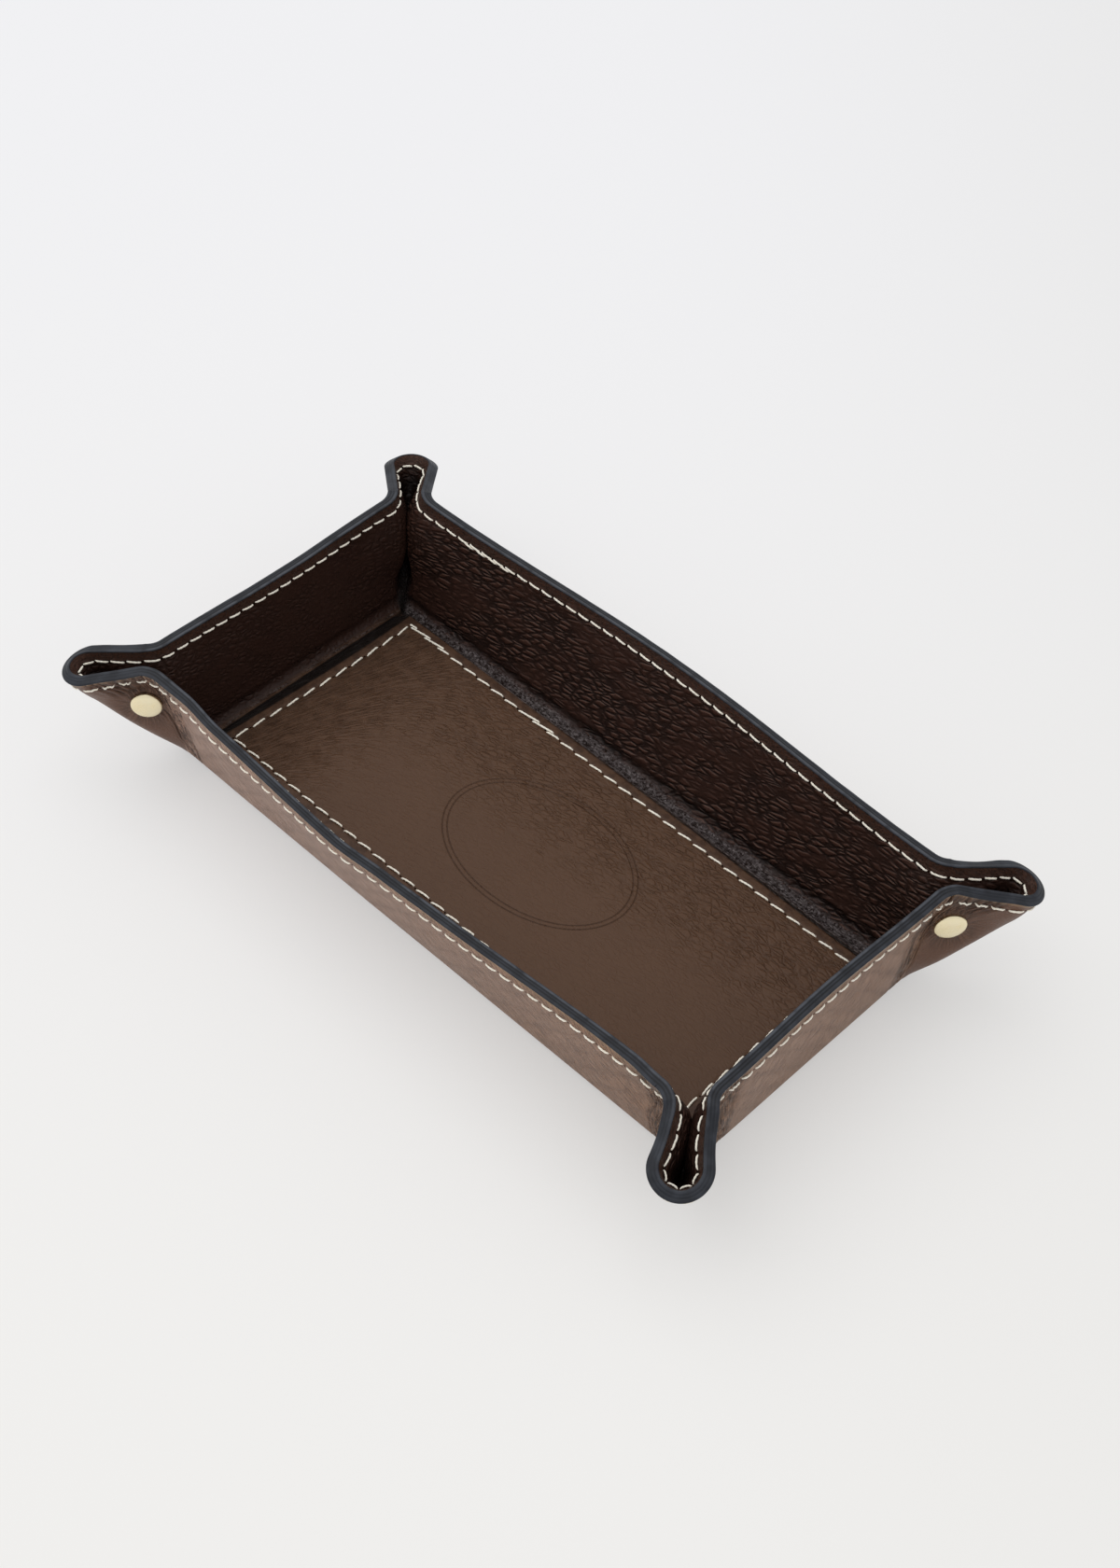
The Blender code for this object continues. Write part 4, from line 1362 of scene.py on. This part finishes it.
def make_lining(material):
    """The lining: base panel, shoulder, crease band, walls and ears."""
    panel, shoulder = panel_rings(), shoulder_rings()
    panel[..., 2] += panel_relief(panel)
    shown = np.concatenate([panel, shoulder, with_lip(LINING_FACE, 1)], axis=1)
    under = LAMINATE - LINING_THICKNESS
    foot = [board_ring(BOARD_CLEARANCE, under + rise) for rise in (BOARD_THICKNESS + GLUE_LINE, 0)]
    hidden = np.concatenate([np.stack(foot, axis=1), hidden_face(LINING_THICKNESS)], axis=1)
    obj = sheet_object("lining", shown, hidden, True, material)
    flat, step, wall = panel_marks(panel), shoulder_marks(shoulder), wall_marks()
    for name in ("pressed", "calm", "ring", *wall):
        inner = [np.broadcast_to(marks.get(name, 0.0), grid.shape[:2])
                 for marks, grid in ((flat, panel), (step, shoulder))]
        upper = with_lip_marks(np.broadcast_to(wall.get(name, 0.0), CLIMB.shape))
        set_mark(obj, name, np.concatenate([*inner, upper], axis=1))
    replace_node(obj, "lining_leather")


def outer_marks():
    """Where the outer leather is folded, creased, trimmed, how its grain runs, and where its ears are
    smoother and painted darker as shade.
    """
    ray, away = nearest_cap(OUTER)
    ear = smooth_share(PLACES, 1.02, 1.20) * smooth_share(PLACES, 1.98, 1.80)
    half = (np.mod(ALONG - FRONT_ALONG, PERIMETER) > PERIMETER / 2).astype(float)
    return {"pleat": FANS, "fan": fan_weight(rivet_distance(OUTER)), "fan_angle": FAN_ANGLE,
            "trim": 0.5 * smooth_share(BELOW_RIM, *TRIM_SPAN), "climb": CLIMB,
            "along": spread(from_front_corner()), "half": spread(half), "ear": spread(ear),
            "ray_x": ray[..., 0], "ray_y": ray[..., 1], "ray_away": away}


def make_outer(material):
    """The outer leather: its walls, ears and the flat underside with its seam."""
    floor = np.stack([board_ring(margin, 0.0) for margin in UNDERSIDE_MARGINS], axis=1)
    groove = hill(beyond(floor, SEAM_CORNERS), UNDERSIDE_GROOVE_HALF_WIDTH)
    floor[..., 2] += groove * UNDERSIDE_GROOVE_DEPTH
    shown = np.concatenate([floor, with_lip(OUTER_FACE, -1)], axis=1)
    obj = sheet_object("outer_leather_skin", shown, hidden_face(OUTER_LEATHER_TOP), False, material)
    below = {"along": spread(from_front_corner(), floor), "climb": floor[..., 1] * 0.7,
             "ray_away": FAR_FROM_CAPS}
    for name, values in outer_marks().items():
        under = np.broadcast_to(below.get(name, 0.0), floor.shape[:2])
        set_mark(obj, name, np.concatenate([under, with_lip_marks(values)], axis=1))
    replace_node(obj, "outer_leather")


def make_reinforcement(material):
    """The hidden sheet between the leathers, following their walls."""
    depth = LINING_THICKNESS + GLUE_LINE
    obj = sheet_object("reinforcement", hidden_face(depth),
                       hidden_face(depth + REINFORCEMENT_THICKNESS), True, material)
    replace_node(obj, "reinforcement_sheet")


def paint_section():
    """The bead's section: distances across the edge, heights above the rim, and how
    much a layer's line and the painted highlight show at each.
    """
    top = EDGE_PAINT_SEAT + EDGE_PAINT_THICKNESS
    angles = np.pi * np.arange(PAINT_POINTS + 1) / PAINT_POINTS
    side, rise = np.cos(angles), np.maximum(0.0, np.sin(angles)) ** PAINT_SHOULDER_POWER
    reach = (LAMINATE / 2 + PAINT_SKIN) * np.sign(side) * np.abs(side) ** PAINT_SIDE_POWER
    across = LAMINATE / 2 - reach
    dip = sum(hill(across - place, LAMINATE_LINE_HALF_WIDTH) for place in LAMINATE_LINES)
    height = PAINT_FOOT + (top - PAINT_FOOT) * rise - dip * LAMINATE_LINE_DEPTH
    across = np.concatenate([[PAINT_SKIN * 0.5], across, [LAMINATE - PAINT_SKIN * 0.5]])
    height = np.concatenate([[PAINT_FOOT], height, [PAINT_FOOT]])
    line = np.concatenate([[0.0], np.minimum(1.0, dip), [0.0]])
    return across, height, line, hill(across - PAINT_HIGHLIGHT_PLACE, PAINT_HIGHLIGHT_HALF_WIDTH)


def make_edge_paint(material):
    """A rounded bead of paint along the cut rim, with the layers' lines showing."""
    out = unit(OUTER[:, -1] - RIM)
    wobble = (waves(RIM, PAINT_WOBBLE_LENGTH) * PAINT_WOBBLE)[:, None]
    width_share = (1 - edge_tuck() / LAMINATE)[:, None]
    across, height, line, shine = paint_section()
    points = np.stack([RIM + out * x * width_share + RIM_UP * (z + wobble)
                       for x, z in zip(across, height)], axis=1)
    faces = grid_faces(*points.shape[:2])
    obj = mesh_object("edge_paint_bead", points.reshape(-1, 3), faces, material)
    # The layers' lines and the painted highlight are fainter on the ears.
    ears = smooth_share(PLACES, 1.0, 1.2) * smooth_share(PLACES, 2.0, 1.8)
    for name, values in (("line", line), ("shine", shine)):
        set_mark(obj, name, values * (1 - PAINT_FADE_SHARE * ears)[:, None])
    replace_node(obj, "rim_edge_paint")


class Thread:
    """Collects the stitches of one seam into one mesh."""

    def __init__(self):
        self.points, self.faces = [], []

    def tube(self, path, normals, radius, twist):
        """A two-ply strand along a path, lying on a surface with these normals."""
        tangents = unit(np.gradient(path, axis=0))
        side = unit(np.cross(tangents, normals))
        lift = np.cross(side, tangents)
        start, count = len(self.points), len(path)
        for k, share in enumerate(np.linspace(0, 1, count)):
            taper = 1 - 0.35 * (2 * share - 1) ** 6
            for angle in circle(STITCH_SIDES):
                ply = 1 + PLY_SHARE * math.cos(2 * angle - PLY_TWISTS * 2 * math.pi * share + twist)
                reach = radius * taper * ply
                self.points.append(path[k] + side[k] * math.cos(angle) * reach
                                   + lift[k] * math.sin(angle) * reach * 0.85)
        self.faces += tube_faces(count, STITCH_SIDES, start)

    def stitch(self, path, normals, aside, slant, bow, dive, radius):
        """One stitch between two needle holes, diving into the leather at each end."""
        share = np.linspace(0, 1, len(path))
        height = radius * (0.45 + 0.45 * np.sin(math.pi * share))
        height -= dive * (np.abs(2 * share - 1) ** 9)
        shift = slant * (share - 0.5) + bow * np.sin(math.pi * share)
        self.tube(path + normals * height[:, None] + aside * shift[:, None], normals, radius,
                  random.uniform(0, 6.28))

    def finish(self, name, material):
        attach(mesh_object(name, self.points, self.faces, material), "root")


def section_points(face, drop):
    """The point of each station's section at a distance below the rim."""
    points = []
    for k in range(STATIONS):
        target = CLIMB[k, -1] - drop
        row = int(np.searchsorted(CLIMB[k], target)) - 1
        share = (target - CLIMB[k, row]) / (CLIMB[k, row + 1] - CLIMB[k, row])
        points.append(face[k, row] * (1 - share) + face[k, row + 1] * share)
    return np.array(points)


def rim_seam_holes():
    """Each needle hole of the rim seam, as a share of a station number."""
    line = section_points(FACE + LAMINATE / 2 * OUTWARD, RIM_SEAM_DROP)
    ring = np.concatenate([line, line[:1]])
    lengths = np.concatenate([[0.0], np.cumsum(np.linalg.norm(np.diff(ring, axis=0), axis=1))])
    count = round(lengths[-1] / RIM_STITCH_PITCH)
    marks = (np.arange(count) + 0.5) * lengths[-1] / count
    return np.interp(marks, lengths, np.arange(len(ring)))


def closed_line(values):
    """A function that reads a closed line of points at shares of a station number."""
    ring, stations = np.concatenate([values, values[:1]]), np.arange(STATIONS + 1)
    return lambda where: np.stack([np.interp(np.mod(where, STATIONS), stations, ring[:, axis])
                                   for axis in range(3)], axis=-1)


def rim_thread(face, side, holes, material):
    """The rim seam on the inside or the outside of the tray."""
    sign = 1 if side == "outside" else -1
    radius = OUTSIDE_THREAD_RADIUS if sign > 0 else THREAD_RADIUS
    seam = closed_line(section_points(face, RIM_SEAM_DROP))
    above = closed_line(section_points(face, RIM_SEAM_DROP - ASIDE_SAMPLE))
    out = closed_line(section_points(OUTWARD, RIM_SEAM_DROP) * sign)
    gap = (1 - STITCH_SHARES[side]) / 2
    x, y, _ = seam(holes).T
    twice = (sign < 0) & (y > FOLD_HALF_WIDTH) & (x > DOUBLED_RIM_SPAN[0]) & (x < DOUBLED_RIM_SPAN[1])
    thread = Thread()
    stitches = [(k, 0.0, 0.0) for k in range(len(holes))]
    stitches += [(k, DOUBLED_SHARE, DOUBLED_SHIFT) for k in np.flatnonzero(twice)]
    following = np.append(holes[1:], holes[0] + STATIONS)
    for k, onward, off in stitches:
        share = np.linspace(gap, 1 - gap, STITCH_SEGMENTS) + onward
        where = holes[k] + (following[k] - holes[k]) * share
        path, normals = seam(where), unit(out(where))
        aside = unit(above(where) - path)
        chord = path[0] + (path[-1] - path[0]) * np.linspace(0, 1, len(path))[:, None]
        bridged = np.maximum(((chord - path) * normals).sum(axis=1), 0.0)
        path = path + normals * bridged[:, None] + aside * off
        slant = STITCH_SLANTS[side] + random.uniform(-1, 1) * RIM_SLANT_SPREAD
        bow = random.uniform(-1, 1) * RIM_BOW_SPREAD
        thread.stitch(path, normals, aside, slant, bow, RIM_STITCH_DIVE, radius)
    thread.finish(f"rim_thread_{side}", material)
    return list(zip(seam(holes), unit(out(holes)))) + [
        (seam(holes[k]), unit(out(holes[k]))) for k in np.flatnonzero(twice)]


def base_thread(height, sign, name, material):
    """The base seam in a rectangle, on top of the base or under it."""
    thread, pits = Thread(), []
    normal = np.array([0.0, 0.0, sign])
    gap = (1 - STITCH_SHARES["base"]) / 2
    for side, corner in enumerate(SEAM_CORNERS):
        start = np.append(corner, height)
        end = np.append(SEAM_CORNERS[(side + 1) % len(SEAM_CORNERS)], height)
        count = round(np.linalg.norm(end - start) / BASE_STITCH_PITCH)
        aside = np.cross(normal, unit(end - start)) * sign
        bow = SEAM_BOW * (start[0] < 0 and end[0] < 0) * sign

        def on_seam(share):
            share = np.atleast_1d(share)[:, None]
            return start + (end - start) * share + aside * bow * 4 * share * (1 - share)

        for j in range(count):
            doubled = sign > 0 and (side, j) in DOUBLED_BASE_STITCHES
            for onward, off in ((0.0, 0.0), (DOUBLED_SHARE, DOUBLED_SHIFT))[:1 + doubled]:
                share = np.linspace(j + gap, j + 1 - gap, STITCH_SEGMENTS) + onward
                path = on_seam(np.clip(share / count, 0, 1)) + aside * off
                slant = STITCH_SLANTS["base"] + random.uniform(-1, 1) * BASE_SLANT_SPREAD
                thread.stitch(path, np.broadcast_to(normal, path.shape),
                              np.broadcast_to(aside, path.shape), slant, BASE_STITCH_BOW,
                              BASE_STITCH_DIVE, THREAD_RADIUS)
            pits.append((on_seam(j / count)[0], normal))
    thread.finish(name, material)
    return pits


def make_holes(pits, side, material):
    """Needle holes: small discs painted dark as the shade inside each prick, with a lip that stands on
    the leather.
    """
    points, faces = [], []
    for spot, normal in pits:
        turn = Vector(normal).to_track_quat("Z", "Y").to_matrix()
        start = len(points)
        for share, height in PIT_LOOPS:
            reach = PIT_RADII[side] * share
            for angle in circle(PIT_SIDES):
                local = Vector((reach * math.cos(angle), reach * math.sin(angle), height))
                points.append(np.array(spot) + np.array(turn @ local))
        faces += tube_faces(len(PIT_LOOPS), PIT_SIDES, start)
    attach(mesh_object(f"needle_hole_shades_{side}", points, faces, material), "root")


def cap_profile():
    """A low satin dome with a rolled edge, from the middle of the top outwards."""
    profile = []
    for k in range(CAP_RINGS + 1):
        share = math.sin(math.pi / 2 * k / CAP_RINGS)
        crown = max(0.0, 1 - share ** CAP_DOME_POWERS[0]) ** CAP_DOME_POWERS[1]
        profile.append((RIVET_CAP_RADIUS * share, RIVET_CAP_EDGE_HEIGHT
                        + (RIVET_CAP_HEIGHT - RIVET_CAP_EDGE_HEIGHT) * crown))
    return profile + [(RIVET_CAP_RADIUS, RIVET_CAP_EDGE_HEIGHT * 0.4),
                      (RIVET_CAP_RADIUS * 0.96, -RIVET_SEAT_CLEARANCE * 0.7)]


def lathe_object(name, profile, material):
    """Turn a profile about Z. Its first and last points lie on the axis."""
    points = [(0.0, 0.0, profile[0][1]), (0.0, 0.0, profile[-1][1])]
    points += [(radius * math.cos(angle), radius * math.sin(angle), height)
               for radius, height in profile[1:-1] for angle in circle(CAP_SEGMENTS)]
    loops = len(profile) - 2
    last = 2 + (loops - 1) * CAP_SEGMENTS
    faces = grid_faces(loops, CAP_SEGMENTS, 2, flip=True, closed=False)
    for k in range(CAP_SEGMENTS):
        after = (k + 1) % CAP_SEGMENTS
        faces += [(0, 2 + k, 2 + after), (1, last + after, last + k)]
    obj = mesh_object(name, points, faces, material)
    obj.data.set_sharp_from_angle(angle=CAP_EDGE_ANGLE)
    return obj


def make_caps(material):
    """The rivets: a cap with a post and a cap with a socket on each ear's flanks."""
    seat = PINCH_HALF_GAP + LAMINATE + RIVET_SEAT_CLEARANCE
    tip = -(2 * seat + RIVET_POST_ENTRY)
    dome = cap_profile()
    skirt = dome[-1][1]
    post = [(RIVET_POST_RADIUS, skirt), (RIVET_POST_RADIUS, tip), (0.0, tip)]
    for name, (centre, _, axis) in zip(EARS, rivet_frames()):
        for kind, sense, inside in (("post", 1, post), ("socket", -1, [(0.0, skirt)])):
            obj = lathe_object(f"{name}_{kind}_cap", dome + inside, material)
            out = Vector(axis * sense)
            turn = out.to_track_quat("Z", "Y").to_matrix().to_4x4()
            obj.matrix_world = Matrix.Translation(Vector(centre) + out * seat) @ turn
            replace_node(obj, f"rivet_{name}_{kind}_cap")


def make_camera():
    az, el = CAMERA_AZIMUTH, CAMERA_ELEVATION
    back = Vector((math.sin(az) * math.cos(el), -math.cos(az) * math.cos(el), math.sin(el)))
    right = (-back).cross(Vector((0, 0, 1))).normalized()
    up = right.cross(-back)
    image_right = right * math.cos(CAMERA_ROLL) + up * math.sin(CAMERA_ROLL)
    image_up = -right * math.sin(CAMERA_ROLL) + up * math.cos(CAMERA_ROLL)
    place = back * CAMERA_DISTANCE + right * CAMERA_RIGHT + up * CAMERA_UP
    data = bpy.data.cameras.new("camera")
    data.sensor_width = SENSOR_MM
    data.lens = SENSOR_MM * FOCAL_PIXELS / PICTURE_HEIGHT_PIXELS
    camera = bpy.data.objects.new("camera", data)
    bpy.context.scene.collection.objects.link(camera)
    turn = Matrix((image_right, image_up, back)).transposed().to_4x4()
    camera.matrix_world = Matrix.Translation(place) @ turn
    bpy.context.scene.camera = camera


def seen_by(tree, ray):
    """1 for one kind of ray and 0 for the others."""
    return node_field(tree, "ShaderNodeLightPath", {}, ray)


def make_floor():
    """A pale floor. Its own glow, which lights nothing else, softens the shadow on it."""
    look = Look("pale_floor", FLOOR.plain, 0.9, specular=0.1)
    run, aside = [vectors("DOT_PRODUCT", look.place, heading, output="Value")
                  for heading in (BACK_HEADING, SIDE_HEADING)]
    colour = blend(remap(run, *BACK_SPAN), FLOOR.front, FLOOR.back)
    # Painted shade: the floor darkens a little to one side.
    colour = blend(remap(aside, *SIDE_SHADE_SPAN, 0.0, 0.62), colour, FLOOR.side)
    look.link("Base Color", colour)
    glow = node_field(look.tree, "ShaderNodeEmission", {"Color": colour,
                                                        "Strength": FLOOR_GLOW_LEVEL})
    seen = larger(seen_by(look.tree, "Is Camera Ray"), seen_by(look.tree, "Is Glossy Ray"))
    both = from_fields("ShaderNodeMixShader", (seen * FLOOR_GLOW_SHARE,
                                               Field(look.shader.outputs[0]), glow))
    look.tree.links.new(both.socket, look.tree.nodes["Material Output"].inputs["Surface"])
    half = FLOOR_HALF_SIZE
    corners = [(-half, -half, 0), (half, -half, 0), (half, half, 0), (-half, half, 0)]
    mesh_object("floor", corners, [(0, 1, 2, 3)], look.material)


def make_lights():
    """A pale room, and one wide soft lamp above the tray, a little behind it."""
    world = bpy.data.worlds.new("studio")
    world.use_nodes = True
    tree = world.node_tree
    background = tree.nodes["Background"]
    background.inputs["Color"].default_value = (1.0, 1.0, 1.0, 1.0)
    level = remap(seen_by(tree, "Is Camera Ray"), 0.0, 1.0, WORLD_LEVEL, WORLD_SEEN_LEVEL)
    tree.links.new(level.socket, background.inputs["Strength"])
    bpy.context.scene.world = world
    data = bpy.data.lights.new("overhead", "AREA")
    data.size = LAMP_SIZE
    data.energy = LAMP_WATTS
    lamp = bpy.data.objects.new("overhead", data)
    lamp.location = LAMP_PLACE
    lamp.rotation_mode = "QUATERNION"
    lamp.rotation_quaternion = Vector(LAMP_PLACE).to_track_quat("Z", "Y")
    bpy.context.scene.collection.objects.link(lamp)


def make_seams():
    """The threads of both seams, and the needle holes that they come out of."""
    thread, pit = thread_material(), hole_shade_material()
    holes = rim_seam_holes()
    pits = {"inside": rim_thread(LINING_FACE, "inside", holes, thread),
            "outside": rim_thread(OUTER_FACE, "outside", holes, thread),
            "base": base_thread(PANEL_HEIGHT - SEAM_GROOVE_DEPTH, 1, "base_thread_top", thread)}
    base_thread(UNDERSIDE_THREAD_HEIGHT, -1, "base_thread_underside", thread)
    for side, spots in pits.items():
        make_holes(spots, side, pit)


def main():
    bpy.context.scene.view_settings.view_transform = "Standard"
    make_camera()
    make_floor()
    make_lights()
    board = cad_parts["base_board"].data.materials
    board.clear()
    board.append(fibre_material("grey_board", "85807A", "A8A39C"))
    make_reinforcement(fibre_material("bonded_fibre", "8C7357", "B09A7C"))
    make_lining(lining_material())
    make_outer(outer_material())
    make_edge_paint(paint_material())
    make_caps(brass_material())
    make_seams()


main()
